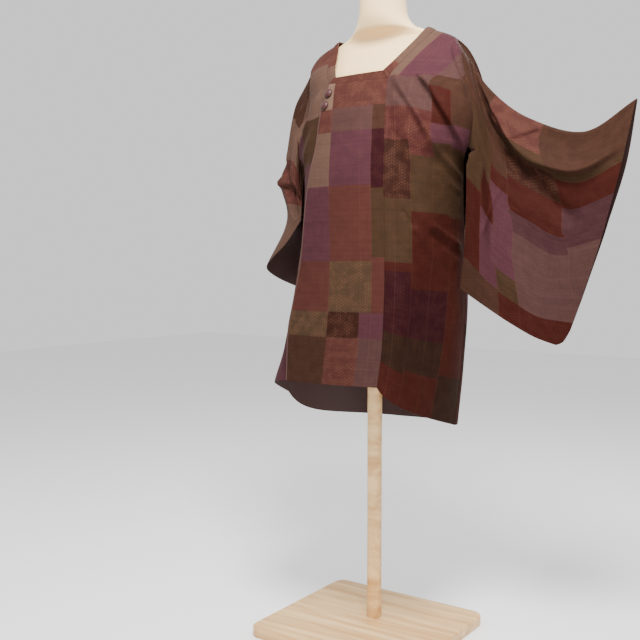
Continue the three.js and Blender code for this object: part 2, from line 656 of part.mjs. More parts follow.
// The dress form: level rings, closed at both ends
const FORM_SIDES = 28;
function dressForm() {
  const sides = FORM_SIDES;
  const points = [];
  for (const ring of FORM_RINGS) {
    for (let k = 0; k < sides; k += 1) {
      const angle = (2 * Math.PI * k) / sides;
      const [c, s] = [Math.cos(angle), Math.sin(angle)];
      const power = 2 / ring.power;
      const x = ring.halfX * Math.sign(c) * Math.abs(c) ** power;
      const y = ring.yMid + ring.halfY * Math.sign(s) * Math.abs(s) ** power;
      points.push(vec(x, y, ring.z));
    }
  }
  const index = [];
  for (let j = 0; j < FORM_RINGS.length - 1; j += 1) {
    for (let k = 0; k < sides; k += 1) {
      const next = (k + 1) % sides;
      const [a, b, c, d] = [j * sides + k, j * sides + next, (j + 1) * sides + next, (j + 1) * sides + k];
      index.push(a, b, c, a, c, d);
    }
  }
  const [bottom, top] = [FORM_RINGS[0], FORM_RINGS[FORM_RINGS.length - 1]];
  points.push(vec(0, bottom.yMid, bottom.z), vec(0, top.yMid, top.z));
  const last = (FORM_RINGS.length - 1) * sides;
  for (let k = 0; k < sides; k += 1) {
    const next = (k + 1) % sides;
    index.push(points.length - 2, next, k);
    index.push(points.length - 1, last + k, last + next);
  }
  return solid("form_torso", COLOURS.formCloth, points, index);
}

function pole() {
  const bottom = BOARD.height + SEAM;
  const top = FORM_RINGS[0].z - SEAM;
  const geometry = new THREE.CylinderGeometry(POLE_RADIUS, POLE_RADIUS, top - bottom, POLE_SIDES);
  const mesh = new THREE.Mesh(geometry, new THREE.MeshStandardMaterial({ color: COLOURS.wood }));
  mesh.rotation.x = Math.PI / 2;
  mesh.position.set(0, FORM_RINGS[0].yMid, (top + bottom) / 2);
  mesh.name = "stand_pole";
  return mesh;
}

function board() {
  const { x, yFront, yBack, corner } = BOARD;
  const [w, d] = [x / 2, yBack - yFront];
  const shape = new THREE.Shape();
  shape.moveTo(-w + corner, yFront);
  shape.lineTo(w - corner, yFront);
  shape.absarc(w - corner, yFront + corner, corner, -Math.PI / 2, 0);
  shape.absarc(w - corner, yFront + d - corner, corner, 0, Math.PI / 2);
  shape.absarc(-w + corner, yFront + d - corner, corner, Math.PI / 2, Math.PI);
  shape.absarc(-w + corner, yFront + corner, corner, Math.PI, 1.5 * Math.PI);
  const cut = { depth: BOARD.height, bevelEnabled: false, curveSegments: 6 };
  const geometry = new THREE.ExtrudeGeometry(shape, cut);
  const mesh = new THREE.Mesh(geometry, new THREE.MeshStandardMaterial({ color: COLOURS.wood }));
  mesh.name = "base_board";
  return mesh;
}

// The whole coat and its stand

const coat = new THREE.Group();
coat.add(bodyPanel("body_left", left), bodyPanel("body_right", right));
coat.add(overlapWall("tate_eri_left", overlapLeft), overlapWall("tate_eri_right", overlapRight));

const BAND_SPLIT_LEFT = TOP_PLACES[8];
const BAND_SPLIT_RIGHT = 2 * NAPE - BAND_SPLIT_LEFT;
const bothEnds = { first: HALF_SEAM, last: HALF_SEAM };
coat.add(bandPiece("neckband_left", NECK_CORNER, BAND_SPLIT_LEFT, bothEnds));
coat.add(bandPiece("neckband_back", BAND_SPLIT_LEFT, BAND_SPLIT_RIGHT, bothEnds));
coat.add(bandPiece("neckband_right", BAND_SPLIT_RIGHT, BAND_END, { first: HALF_SEAM }));

const frontBand = trimmed(frontBandSurface, { end: HALF_SEAM, first: HALF_SEAM }, [0, 1]);
const frontRows = spread(0, 1, 2);
coat.add(
  wall("neckband_front", COLOURS.coat, OVERLAP_ACROSS, frontRows, frontBand, frontBandInward, BAND_CLOTH),
);

const leftRows = SLEEVE_LEFT_PLACES.sort((a, b) => a - b);
coat.add(
  wall("sleeve_left", COLOURS.coat, SLEEVE_ACROSS, leftRows, sleeveLeftSurface, sleeveLeftInward, CLOTH),
);

const rightAcross = ARMHOLE_PLACES.map((at) => (ARMHOLE - at) / SLEEVE_DEPTH).sort((a, b) => a - b);
const rightRows = spread(0, 1, 14);
coat.add(
  wall("sleeve_right", COLOURS.coat, rightAcross, rightRows, sleeveRightSurface, sleeveRightInward, CLOTH),
);

coat.add(button("button_upper", BUTTON_ACROSS, BUTTON_UPPER));
coat.add(button("button_lower", BUTTON_ACROSS, BUTTON_LOWER));

const stand = new THREE.Group();
stand.add(dressForm(), pole(), board());

const part = new THREE.Group();
part.add(coat, stand);

export default part;
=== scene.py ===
# A michiyuki coat on a dress form: the visible cloth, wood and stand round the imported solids.
import math

import bpy
import numpy as np
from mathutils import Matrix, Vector


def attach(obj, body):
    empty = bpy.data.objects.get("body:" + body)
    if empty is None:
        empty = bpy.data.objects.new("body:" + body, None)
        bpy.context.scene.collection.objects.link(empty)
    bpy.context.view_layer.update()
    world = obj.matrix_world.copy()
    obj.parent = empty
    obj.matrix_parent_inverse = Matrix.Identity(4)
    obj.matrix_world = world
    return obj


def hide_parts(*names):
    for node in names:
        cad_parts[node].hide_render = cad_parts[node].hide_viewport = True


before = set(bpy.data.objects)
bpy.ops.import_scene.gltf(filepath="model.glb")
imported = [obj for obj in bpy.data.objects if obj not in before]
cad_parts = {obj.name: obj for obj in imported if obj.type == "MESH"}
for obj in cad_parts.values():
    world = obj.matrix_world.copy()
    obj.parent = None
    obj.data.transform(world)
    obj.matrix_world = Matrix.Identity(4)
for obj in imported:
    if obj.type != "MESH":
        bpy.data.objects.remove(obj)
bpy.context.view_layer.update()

# Lengths are in millimetres until a mesh is made
MM = 0.001
CLOTH = 1.7
BAND_CLOTH = 2.3
HALF_SEAM = 0.15
BAND_SEAM = 0.5
ARMHOLE_SEAM = 0.7
ARMHOLE = 250
NECK_CORNER = -130
NAPE = 130
FRONT_HEM = -756
BACK_HEM = 800
AXIS_Y = -60
SLEEVE_DEPTH = 500
RIGHT_SLEEVE_DEPTH = 450
BAND_DEPTH = 18

# Folds and creases
FOLD_TAPER = 0.2
FOLD_FADE = 0.06
STEP_WIDTH = 4.5
STEP_TAIL = 2.2
PATH_PARTS = 5
PATH_TAPER = 0.22
PATH_REACH = 3

# Shares of a panel's width or depth over which one direction or form runs out into the next
SEAM_BLEND = 0.1
CORNER_BLEND = 0.15
SLEEVE_BLEND = 0.12
TOP_CLEAR = 0.07
SLEEVE_FADE = 0.08
RIGHT_FADE = 0.1
NEAR_EDGE = 0.97
CHORD = 0.03
SAMPLE = 1e-3

# The left sleeve is sewn to the armhole over half its depth, and springs away from the body below that
SEWN = 0.5
PULL_DEPTH = 0.4
PULL_REACH = 0.5
SLEEVE_SPRING = 9
SPRING_RISE = 0.06
SPRING_HOLD = 0.2
SPRING_FALL = 0.3
RIGHT_SPRING_RISE = 0.12
SLEEVE_INSIDE = (0.01, 0.99)


# A table with named columns. What a short row leaves out is 1.
def table(columns, rows):
    values = np.array([row + [1.0] * (len(columns) - len(row)) for row in rows], float)
    return {name: values[:, i] for i, name in enumerate(columns)}


PANEL_COLUMNS = ["at", "xIn", "yIn", "zIn", "xOut", "yOut", "zOut", "round", "fall"]

# The left main length: inner edge, then outer edge, at places along the cloth from hem to hem
BODY_LEFT = table(PANEL_COLUMNS, [
    [-756, 114, -225, 564, 182, -20, 467, 1.0, 0.85],
    [-671, 119, -215, 648, 192, -12, 590, 1.0, 0.9],
    [-583, 117, -205, 736, 200, -12, 712],
    [-459, 108, -190, 859, 201, -24, 850],
    [-345, 98, -178, 972, 205, -38, 952],
    [-280, 93, -168, 1035, 211, -50, 1013],
    [-250, 91, -163, 1064, 227, -65, 1041],
    [-190, 84, -148, 1124, 239, -69, 1098],
    [-130, 78, -126, 1182, 224, -61, 1153],
    [-75, 97, -94, 1225, 207, -49, 1206],
    [-38, 112, -52, 1263, 194, -34, 1240],
    [0, 127, -14, 1293, 175, -8, 1265],
    [30, 119, 20, 1290, 188, 14, 1247],
    [65, 94, 54, 1281, 201, 24, 1216],
    [98, 52, 76, 1274, 211, 30, 1182],
    [130, 0, 83, 1271, 218, 33, 1152],
    [190, 0, 92, 1211, 229, 36, 1098],
    [250, 0, 95, 1151, 222, 34, 1041],
    [280, 0, 95, 1119, 208, 18, 1009],
    [345, 0, 93, 1046, 205, 2, 952],
    [459, 0, 88, 920, 201, -24, 850],
    [583, 0, 82, 770, 200, -12, 712],
    [690, 0, 79, 620, 192, -12, 590],
    [800, 0, 78, 455, 182, -20, 467],
])

BODY_RIGHT = table(PANEL_COLUMNS, [
    [-756, -116, -204, 558, -215, -75, 512, 1.0, 2.0],
    [-671, -116, -191, 640, -188, -66, 610, 1.0, 1.5],
    [-583, -112, -180, 728, -172, -58, 718, 1.1, 1.0],
    [-459, -104, -165, 851, -170, -45, 848, 1.3, 1.0],
    [-345, -98, -156, 964, -168, -44, 945, 1.4, 1.0],
    [-280, -94, -150, 1028, -172, -46, 1008, 1.4, 1.0],
    [-250, -91, -145, 1056, -186, -50, 1036, 1.4, 1.0],
    [-190, -84, -133, 1116, -176, -52, 1094, 1.3, 1.0],
    [-130, -78, -116, 1180, -166, -50, 1150, 1.2, 1.0],
    [-75, -97, -91, 1224, -170, -42, 1204],
    [-38, -113, -52, 1262, -180, -32, 1239],
    [0, -127, -14, 1293, -175, -8, 1265],
    [30, -119, 20, 1290, -184, 11, 1247],
    [65, -96, 54, 1280, -190, 20, 1214],
    [98, -53, 76, 1274, -193, 25, 1181],
    [130, 0, 83, 1271, -195, 27, 1151],
    [190, 0, 92, 1211, -198, 27, 1096],
    [250, 0, 95, 1151, -192, 22, 1036],
    [280, 0, 95, 1119, -182, 8, 1008],
    [345, 0, 93, 1046, -172, -12, 945],
    [459, 0, 88, 920, -170, -45, 848],
    [583, 0, 82, 770, -172, -58, 718],
    [690, 0, 79, 620, -188, -66, 610, 1.0, 2.0],
    [800, 0, 78, 455, -215, -75, 512, 1.0, 5.0],
])

# The free edge of each overlapping front panel, and how far its middle stands out
FREE_EDGE_COLUMNS = ["at", "x", "y", "z", "bulge"]
OVERLAP_LEFT = table(FREE_EDGE_COLUMNS, [
    [-756, -117, -216, 561, 12],
    [-652, -122, -202, 666, 14],
    [-589, -116, -191, 729, 14],
    [-508, -105, -181, 810, 13],
    [-388, -99, -171, 930, 13],
    [-325, -92, -166, 993, 13],
    [-262, -82, -156, 1056, 12],
    [-200, -79, -146, 1114, 9],
    [-130, -68, -127, 1186, 3],
])
OVERLAP_RIGHT = table(FREE_EDGE_COLUMNS, [
    [-756, 96, -214, 566, 8],
    [-583, 98, -192, 736, 9],
    [-388, 84, -168, 930, 8],
    [-250, 76, -149, 1064, 6],
    [-200, 72, -137, 1114, 4],
    [-130, 62, -119, 1186, 1],
])

# The neckline's opening edge from each front corner to the nape
NECKLINE_LEFT = table(["at", "x", "y", "z"], [
    [-130, 64, -124, 1200],
    [-75, 80, -90, 1233],
    [-38, 95, -51, 1270],
    [0, 111, -17, 1302],
    [30, 104, 12, 1301],
    [65, 82, 42, 1295],
    [98, 45, 60, 1290],
    [130, 0, 66, 1288],
])
NECKLINE_RIGHT = table(["at", "x", "y", "z"], [
    [-130, -60, -114, 1198],
    [-75, -79, -87, 1231],
    [-38, -97, -51, 1269],
    [0, -112, -17, 1301],
    [30, -105, 12, 1300],
    [65, -83, 42, 1294],
    [98, -46, 60, 1290],
    [130, 0, 66, 1288],
])
OPENING_LEFT_END = np.array([-60.0, -121.0, 1199.0])
OPENING_BULGE = 2
BAND_CROWN = 1.5
MITRE_RUN = 20

# The left sleeve's middle surface, from the top fold down, and half the space between its layers
SLEEVE_LEFT_AT = np.array([0, 0.25, 0.5, 0.58, 0.75, 1.0])
SLEEVE_LEFT = np.array([
    [[177, -8, 1262, 5], [240, 0, 1166, 5], [328, 0, 1096, 5], [436, 0, 1060, 5], [538, 0, 1113, 5]],
    [[220, -13, 1153, 48], [258, -6, 1060, 24], [338, 0, 1000, 14], [428, 2, 965, 9], [518, 0, 1000, 14]],
    [[226, -16, 1041, 48], [260, -14, 955, 26], [333, -5, 900, 14], [408, 0, 865, 8], [487, 0, 885, 8]],
    [[231, -21, 998, 44], [261, -17, 930, 25], [331, -7, 880, 13], [404, -1, 845, 8], [481, 0, 863, 7]],
    [[224, -40, 900, 32], [262, -30, 835, 20], [322, -16, 790, 11], [382, -8, 760, 7], [450, 0, 765, 4]],
    [[213, -66, 756, 2], [260, -52, 722, 2], [309, -36, 688, 2], [358, -22, 660, 2], [410, -8, 642, 2]],
], float)

# The right sleeve, from the armhole down: it hangs open towards the body, from its back to its front
SLEEVE_RIGHT_AT = np.array([0, 0.2, 0.4, 0.6, 0.8, 1.0])
SLEEVE_RIGHT = np.array([
    [[-193, 22, 1036], [-195, 27, 1156], [-176, -8, 1262], [-166, -50, 1155], [-187, -50, 1036]],
    [[-212, 32, 990], [-226, 34, 1110], [-243, 0, 1180], [-200, -54, 1120], [-188, -56, 1006]],
    [[-226, 38, 930], [-250, 36, 1030], [-266, 0, 1085], [-207, -60, 1060], [-187, -61, 975]],
    [[-236, 40, 870], [-262, 36, 950], [-279, -10, 996], [-208, -66, 990], [-184, -66, 950]],
    [[-240, 40, 810], [-256, 30, 870], [-257, -14, 905], [-209, -74, 918], [-181, -72, 927]],
    [[-238, 36, 745], [-258, 16, 752], [-306, -38, 792], [-216, -84, 852], [-178, -78, 903]],
], float)

# Below the armhole the left sleeve's front layer hangs forward and closer to the body at its inner edge
FRONT_EDGE = table(["at", "x", "y"], [
    [0.0, 0, 0],
    [0.02, 4, -6],
    [0.05, -12, -32],
    [0.1, -12, -32],
    [0.2, -10, -26],
    [0.3, -6, -16],
    [0.4, -2, -5],
    [0.5, 0, 0],
])
FRONT_EDGE_REACH = 0.3

# Main folds, as the solids have them; the main tuck is among the creases. Each row: share across and place
# along where the fold starts, the same where it ends, height, width, and the raised side of a step.
# Places on sleeves are shares of the depth.
FOLDS_LEFT = [
    [0.02, -150, 0.62, -300, 6, 14, 0],
    [0.02, -215, 0.5, -420, -5, 16, 0],
    [0.3, -330, 0.75, -520, 5, 20, 0],
    [0.55, -430, 0.6, -740, -5, 26, 0],
    [0.85, -420, 0.85, -750, 6, 24, 0],
]
FOLDS_RIGHT = [
    [0.1, -125, 0.85, -262, 8, 16, 0],
    [0.3, -330, 0.5, -740, -6, 26, 0],
    [0.75, -420, 0.7, -750, 7, 24, 0],
]
FOLDS_SLEEVE_FRONT = [
    [0.08, 0.0, 0.42, 0.32, -11, 18, 0],
    [0.34, 0.22, 0.85, 0.46, -8, 20, 0],
    [0.26, 0.08, 0.44, 0.24, 8, 14, 0],
    [0.4, 0.2, 0.95, 0.22, 7, 18, 0],
    [0.38, 0.0, 0.3, 0.14, -4, 9, 0],
]
FOLDS_SLEEVE_BACK = [
    [0.1, 0.02, 0.5, 0.4, -8, 20, 0],
    [0.35, 0.2, 0.9, 0.3, 6, 20, 0],
]
FOLDS_SLEEVE_RIGHT = [
    [0.62, 0.1, 0.66, 0.62, -7, 14, 0],
    [0.78, 0.02, 0.78, 0.62, 6, 12, 0],
    [0.5, 0.62, 1.02, 0.62, 8, 26, 1],
]

# The dress form in level rings: height, half width, half depth, middle in Y, squareness
FORM_COLUMNS = ["z", "halfX", "halfY", "yMid", "power"]
FORM_RINGS = table(FORM_COLUMNS, [
    [800, 138, 92, -46, 2.2],
    [860, 134, 88, -44, 2.2],
    [930, 128, 84, -42, 2.2],
    [1010, 134, 88, -38, 2.2],
    [1090, 146, 92, -32, 2.3],
    [1160, 156, 86, -24, 2.4],
    [1215, 163, 66, -16, 2.4],
    [1245, 166, 44, -11, 2.3],
    [1263, 162, 30, -10, 2.2],
    [1276.8, 149, 21, -9, 2.1],
    [1289.8, 127, 19, -8, 2.0],
    [1298.6, 104, 26, -8, 2.0],
    [1312, 74, 42, -14, 2.0],
    [1342, 55, 50, -18, 2.0],
    [1380, 51, 51, -20, 2.0],
    [1432, 51, 51, -20, 2.0],
    [1440, 47, 47, -20, 2.0],
])


# Smooth reading between knots that never swings past them
def hermite(knots, values, t):
    t = np.asarray(t, float)
    values = np.asarray(values, float)
    span = np.diff(knots)
    slope = np.diff(values) / span
    before, after = slope[..., :-1], slope[..., 1:]
    same = before * after > 0
    inner = np.where(same, 2 * before * after / np.where(same, before + after, 1), 0)
    tangent = np.concatenate([slope[..., :1], inner, slope[..., -1:]], -1)
    i = np.clip(np.searchsorted(knots, t, side="left") - 1, 0, len(knots) - 2)

    def pick(array, k):
        return array[k] if array.ndim == 1 else np.take_along_axis(array, k[..., None], -1)[..., 0]

    s = (t - knots[i]) / span[i]
    s2, s3 = s * s, s * s * s
    return (
        (2 * s3 - 3 * s2 + 1) * pick(values, i)
        + (s3 - 2 * s2 + s) * span[i] * pick(tangent, i)
        + (3 * s2 - 2 * s3) * pick(values, i + 1)
        + (s3 - s2) * span[i] * pick(tangent, i + 1)
    )


def smooth(rows, column, at):
    return hermite(rows["at"], rows[column], at)


def both(u, v):
    return np.broadcast_arrays(np.asarray(u, float), np.asarray(v, float))


def net(knots, grid, u, t):
    places = np.linspace(0, 1, grid.shape[1])
    out = []
    for k in range(grid.shape[2]):
        line = np.stack([hermite(knots, grid[:, c, k], t) for c in range(grid.shape[1])], -1)
        out.append(hermite(places, line, u))
    return np.stack(out, -1)


def ease(x):
    x = np.clip(x, 0, 1)
    return x * x * (3 - 2 * x)


def unit(v):
    return v / np.maximum(np.linalg.norm(v, axis=-1, keepdims=True), 1e-12)


def mix(a, b, w):
    w = np.asarray(w, float)[..., None]
    return a * (1 - w) + b * w


def normal_of(surface, u, v, ends):
    h = SAMPLE * (ends[1] - ends[0])
    du = surface(np.minimum(1, u + SAMPLE), v) - surface(np.maximum(0, u - SAMPLE), v)
    dv = surface(u, np.minimum(ends[1], v + h)) - surface(u, np.maximum(ends[0], v - h))
    return unit(np.cross(unit(du), unit(dv)))


# How far the folds lift a place on a panel
def fold_height(folds, u, at, size):
    total = np.zeros(np.broadcast(u, at).shape)
    for u0, at0, u1, at1, height, width, step in folds:
        ax, ay = u0 * size[0], at0 * size[1]
        dx, dy = u1 * size[0] - ax, at1 * size[1] - ay
        length = math.hypot(dx, dy)
        px, py = u * size[0] - ax, at * size[1] - ay
        run = (px * dx + py * dy) / length
        side = (px * dy - py * dx) / length
        taper = ease(run / (FOLD_TAPER * length)) * ease((length - run) / (FOLD_TAPER * length))
        if step:
            reach = np.where(side * step > 0, STEP_TAIL * width, width)
            lift = np.tanh(side * step / STEP_WIDTH) * np.exp(-np.abs(side) / reach)
        else:
            lift = np.exp(-((side / width) ** 2))
        total = total + height * taper * lift
    return total


# Signed distance to a smooth path through given points, and how far along it the nearest place is
def beside_path(x, y, points):
    knots = np.array(points, float)
    count = len(knots)
    turns = np.linspace(0, count - 1, PATH_PARTS * (count - 1) + 1)
    line = np.stack([hermite(np.arange(count), knots[:, k], turns) for k in (0, 1)], -1)
    nearest = np.full(x.shape, np.inf)
    side, along = np.zeros(x.shape), np.zeros(x.shape)
    for j in range(len(line) - 1):
        start, run = line[j], line[j + 1] - line[j]
        px, py = x - start[0], y - start[1]
        length2 = float(run @ run)
        part = np.clip((px * run[0] + py * run[1]) / length2, 0, 1)
        far = np.hypot(px - part * run[0], py - part * run[1])
        closer = far < nearest
        nearest = np.where(closer, far, nearest)
        side = np.where(closer, np.where(px * run[1] > py * run[0], far, -far), side)
        along = np.where(closer, (j + part) / (len(line) - 1), along)
    return side, along


# Creases that only the visible cloth has: a soft ridge or trough, or a lip raised on one side of its edge
def crease_height(creases, u, at, size):
    x, y = np.broadcast_arrays(u * size[0], at * size[1])
    total = np.zeros(x.shape)
    for height, width, *edge, path in creases:
        knots = np.array(path) * size
        low, high = knots.min(0) - PATH_REACH * width, knots.max(0) + PATH_REACH * width
        near = (x > low[0]) & (x < high[0]) & (y > low[1]) & (y < high[1])
        side, along = beside_path(x[near], y[near], knots)
        taper = ease(along / PATH_TAPER) * ease((1 - along) / PATH_TAPER)
        lift = np.exp(-((side / width) ** 2))
        if edge:
            lift = lift * ease(side / edge[0] + 0.5)
        total[near] += height * taper * lift
    return total


BODY_SIZE = (200, 1)
BODY_RANGE = (FRONT_HEM, BACK_HEM)


def panel_point(rows, u, at):
    get = {name: smooth(rows, name, at) for name in PANEL_COLUMNS[1:]}
    angle = u * math.pi / 2
    out = np.sin(angle) ** get["round"]
    stay = np.maximum(0, np.cos(angle)) ** get["round"]
    x = get["xIn"] + (get["xOut"] - get["xIn"]) * out
    y = get["yOut"] + (get["yIn"] - get["yOut"]) * stay
    z = get["zIn"] + (get["zOut"] - get["zIn"]) * u ** get["fall"]
    return np.stack([x, y, z], -1)


# One main length: its surface with folds, and the direction into the cloth
def main_length(rows, folds, creases, side):
    def base(u, at):
        return panel_point(rows, u, at)

    def surface(u, at):
        u, at = both(u, at)
        edge = ease(u / FOLD_FADE) * ease((1 - u) / FOLD_FADE)
        lift = fold_height(folds, u, at, BODY_SIZE) + crease_height(creases, u, at, BODY_SIZE)
        out = normal_of(base, u, at, BODY_RANGE) * side
        return base(u, at) + out * (edge * lift)[..., None]

    def inward(u, at):
        u, at = both(u, at)
        side_seam = np.where(np.abs(at) > ARMHOLE, 1 - ease((1 - u) / SEAM_BLEND), 0)
        back_seam = np.where(at >= NAPE, 1 - ease(u / SEAM_BLEND), 0)
        direction = normal_of(surface, u, at, BODY_RANGE) * -side
        p = surface(u, at)
        to_axis = unit(np.stack([-p[..., 0], AXIS_Y - p[..., 1], 0 * p[..., 0]], -1))
        level = unit(direction * [0, 1, 1])
        return unit(mix(mix(direction, to_axis, side_seam), level, back_seam))

    return surface, inward


# Creases of the visible cloth: height, width, a lip's edge, and path across and along
CREASES_LEFT = [
    (12, 34, -4, [(0.24, -108), (0.3, -128), (0.36, -141), (0.4, -154), (0.46, -178), (0.575, -209),
        (0.74, -240), (0.9, -264), (1.1, -290)]),
    (-6, 12, [(0.2, -120), (0.29, -142), (0.35, -155), (0.39, -168), (0.45, -190), (0.56, -220),
        (0.73, -251), (0.9, -277)]),
    (8, 9, [(0.02, -110), (0.08, -130), (0.163, -160), (0.275, -200), (0.4, -233), (0.525, -258),
        (0.69, -289), (0.89, -313), (1.1, -330)]),
    (-5, 7, [(0.06, -150), (0.2, -190), (0.33, -232), (0.42, -262)]),
    (-4, 14, [(0.02, -180), (0.08, -260), (0.12, -400), (0.16, -540)]),
    (4, 10, [(0.2, -215), (0.26, -290), (0.27, -380)]),
    (-3, 5, [(0.22, -398), (0.3, -418), (0.42, -446)]),
    (6, 8, [(0.32, -424), (0.45, -455), (0.62, -502), (0.8, -560)]),
    (5, 7, [(0.5, -422), (0.7, -445), (0.93, -470)]),
    (-5, 8, [(0.52, -440), (0.7, -466), (0.93, -494)]),
    (3, 9, [(0.55, -300), (0.75, -330), (0.95, -352)]),
    (3, 18, [(0.2, -520), (0.25, -745)]),
    (-3, 14, [(0.4, -600), (0.42, -755)]),
    (3, 22, [(0.15, 170), (0.5, 330)]),
    (-5, 18, [(0.5, 200), (0.7, 280), (0.85, 330)]),
    (4, 26, [(0.3, 380), (0.35, 790)]),
    (-4, 24, [(0.6, 420), (0.62, 790)]),
    (4, 12, [(0.5, -40), (0.72, -90), (0.9, -150)]),
    (-4, 9, [(0.58, -30), (0.8, -80), (0.97, -130)]),
]
CREASES_RIGHT = [
    (-5, 10, [(0.3, -145), (0.55, -190), (0.75, -225)]),
    (4, 14, [(0.15, -200), (0.6, -330)]),
    (-4, 14, [(0.4, -280), (0.95, -360)]),
    (-3, 18, [(0.6, -500), (0.55, -745)]),
    (3, 20, [(0.15, 180), (0.6, 330)]),
    (-5, 18, [(0.55, 220), (0.75, 300), (0.9, 350)]),
    (4, 26, [(0.35, 400), (0.4, 790)]),
    (-4, 22, [(0.7, 430), (0.7, 790)]),
]
CREASES_SLEEVE_FRONT = [
    (17, 46, 18, [(0.16, 0.03), (0.25, 0.07), (0.33, 0.12), (0.39, 0.19), (0.5, 0.245), (0.66, 0.22),
        (0.85, 0.21), (1.04, 0.2)]),
    (-6, 22, [(0.06, 0.03), (0.2, 0.1), (0.33, 0.19), (0.42, 0.28), (0.52, 0.35), (0.66, 0.38),
        (0.95, 0.36)]),
    (2, 20, [(0.2, 0.36), (0.3, 0.42), (0.42, 0.46), (0.6, 0.48)]),
    (3, 7, [(0.36, 0.38), (0.24, 0.62), (0.11, 0.78)]),
    (5, 20, -4, [(0.6, 0.0), (0.49, 0.09), (0.38, 0.19)]),
    (3, 16, [(0.04, 0.42), (0.2, 0.8)]),
    (-3, 18, [(0.2, 0.5), (0.3, 0.95)]),
    (3, 22, [(0.45, 0.55), (0.5, 0.98)]),
    (-3, 9, [(0.28, 0.02), (0.22, 0.12), (0.16, 0.2)]),
]
CREASES_SLEEVE_BACK = [
    (4, 20, [(0.2, 0.4), (0.25, 0.95)]),
    (-3, 22, [(0.55, 0.35), (0.6, 0.95)]),
    (5, 24, [(0.12, 0.05), (0.4, 0.28), (0.7, 0.32), (0.98, 0.24)]),
]
CREASES_SLEEVE_RIGHT = [
    (8, 30, -4, [(0.5, 0.54), (0.62, 0.62), (0.78, 0.76), (0.95, 0.93)]),
    (-8, 11, [(0.5, 0.46), (0.63, 0.54), (0.8, 0.7), (0.96, 0.88)]),
    (5, 7, [(0.68, 0.05), (0.66, 0.3), (0.68, 0.52)]),
    (-6, 7, [(0.74, 0.05), (0.73, 0.3), (0.76, 0.58)]),
    (5, 7, [(0.83, 0.05), (0.81, 0.35), (0.86, 0.66)]),
    (-5, 7, [(0.9, 0.05), (0.89, 0.35), (0.93, 0.7)]),
    (-4, 16, [(0.3, 0.1), (0.3, 0.95)]),
    (3, 16, [(0.15, 0.1), (0.12, 0.95)]),
]

left, left_inward = main_length(BODY_LEFT, FOLDS_LEFT, CREASES_LEFT, 1)
right, right_inward = main_length(BODY_RIGHT, FOLDS_RIGHT, CREASES_RIGHT, -1)
FRONT_RANGE = (FRONT_HEM, NECK_CORNER)


# An overlapping front panel, from its free edge to the seam with its main length
def overlap_panel(free, rows, body_inward, side):
    def surface(u, at):
        u, at = both(u, at)
        edge = np.stack([smooth(free, name, at) for name in "xyz"], -1)
        p = mix(edge, panel_point(rows, 0 * u, at), u)
        p[..., 1] -= 4 * u * (1 - u) * smooth(free, "bulge", at)
        return p

    def inward(u, at):
        u, at = both(u, at)
        own = normal_of(surface, u, at, FRONT_RANGE) * -side
        return unit(mix(own, body_inward(0 * u, at), 1 - ease((1 - u) / CORNER_BLEND)))

    return surface, inward


overlap_left, overlap_left_inward = overlap_panel(OVERLAP_LEFT, BODY_LEFT, left_inward, 1)
overlap_right, overlap_right_inward = overlap_panel(OVERLAP_RIGHT, BODY_RIGHT, right_inward, -1)


# The neckband runs from the left front corner round the nape to the right front corner
MITRE_INWARD = unit(np.array([0.1, 1, -0.35]))
BAND_END = 2 * NAPE - NECK_CORNER


def by_side(w, read, of_left, of_right):
    on_left = w <= NAPE
    at = np.where(on_left, w, 2 * NAPE - w)
    return np.where(on_left[..., None], read(of_left, at), read(of_right, at))


def neck_point(rows, at):
    return np.stack([smooth(rows, name, at) for name in "xyz"], -1)


def inner_edge(rows, at):
    return panel_point(rows, 0 * at, at)


def edge_inward(inward, at):
    return inward(0 * at, at)


def band(u, w):
    u, w = both(u, w)
    opening = by_side(w, neck_point, NECKLINE_LEFT, NECKLINE_RIGHT)
    seam = by_side(w, inner_edge, BODY_LEFT, BODY_RIGHT)
    into = by_side(w, edge_inward, left_inward, right_inward)
    return mix(opening, seam, u) - into * (BAND_CROWN * 4 * u * (1 - u))[..., None]


def band_inward(u, w):
    u, w = both(u, w)
    into = by_side(w, edge_inward, left_inward, right_inward)
    mitre = np.where(w <= NAPE, 1 - ease((w - NECK_CORNER) / MITRE_RUN), 0)
    return unit(mix(into, MITRE_INWARD, mitre))


# The band across the front: v runs from the top of the overlapping panel up to the opening
def front_band(u, v):
    u, v = both(u, v)
    corner = 0 * u + NECK_CORNER
    foot = overlap_left(u, corner)
    opening = mix(OPENING_LEFT_END + 0 * foot, neck_point(NECKLINE_LEFT, corner), u)
    opening[..., 1] -= OPENING_BULGE * 4 * u * (1 - u)
    return mix(foot, opening, v)


def front_band_inward(u, v):
    u, v = both(u, v)
    foot = overlap_left_inward(u, 0 * u + NECK_CORNER)
    return unit(mix(foot, MITRE_INWARD, 1 - ease((1 - u) / CORNER_BLEND)))


# Left sleeve: v runs from the back layer's foot (-1) over the fold to the front's (1)
FOLD_PART = 10 / SLEEVE_DEPTH
SLEEVE_SIZE = (460, 490)
SLEEVE_RANGE = (-1, 1)
CORNER = {"across": 0.07, "along": 0.07, "cut": 0.3}


def rounded(u, t):
    a = np.clip((u - 1 + CORNER["across"]) / CORNER["across"], 0, 1)
    b = np.clip((t - 1 + CORNER["along"]) / CORNER["along"], 0, 1)
    pull = CORNER["cut"] * np.minimum(a, b)
    return u - CORNER["across"] * a * pull, t - CORNER["along"] * b * pull


def sleeve_middle(u, t):
    return net(SLEEVE_LEFT_AT, SLEEVE_LEFT[..., :3], *rounded(u, t))


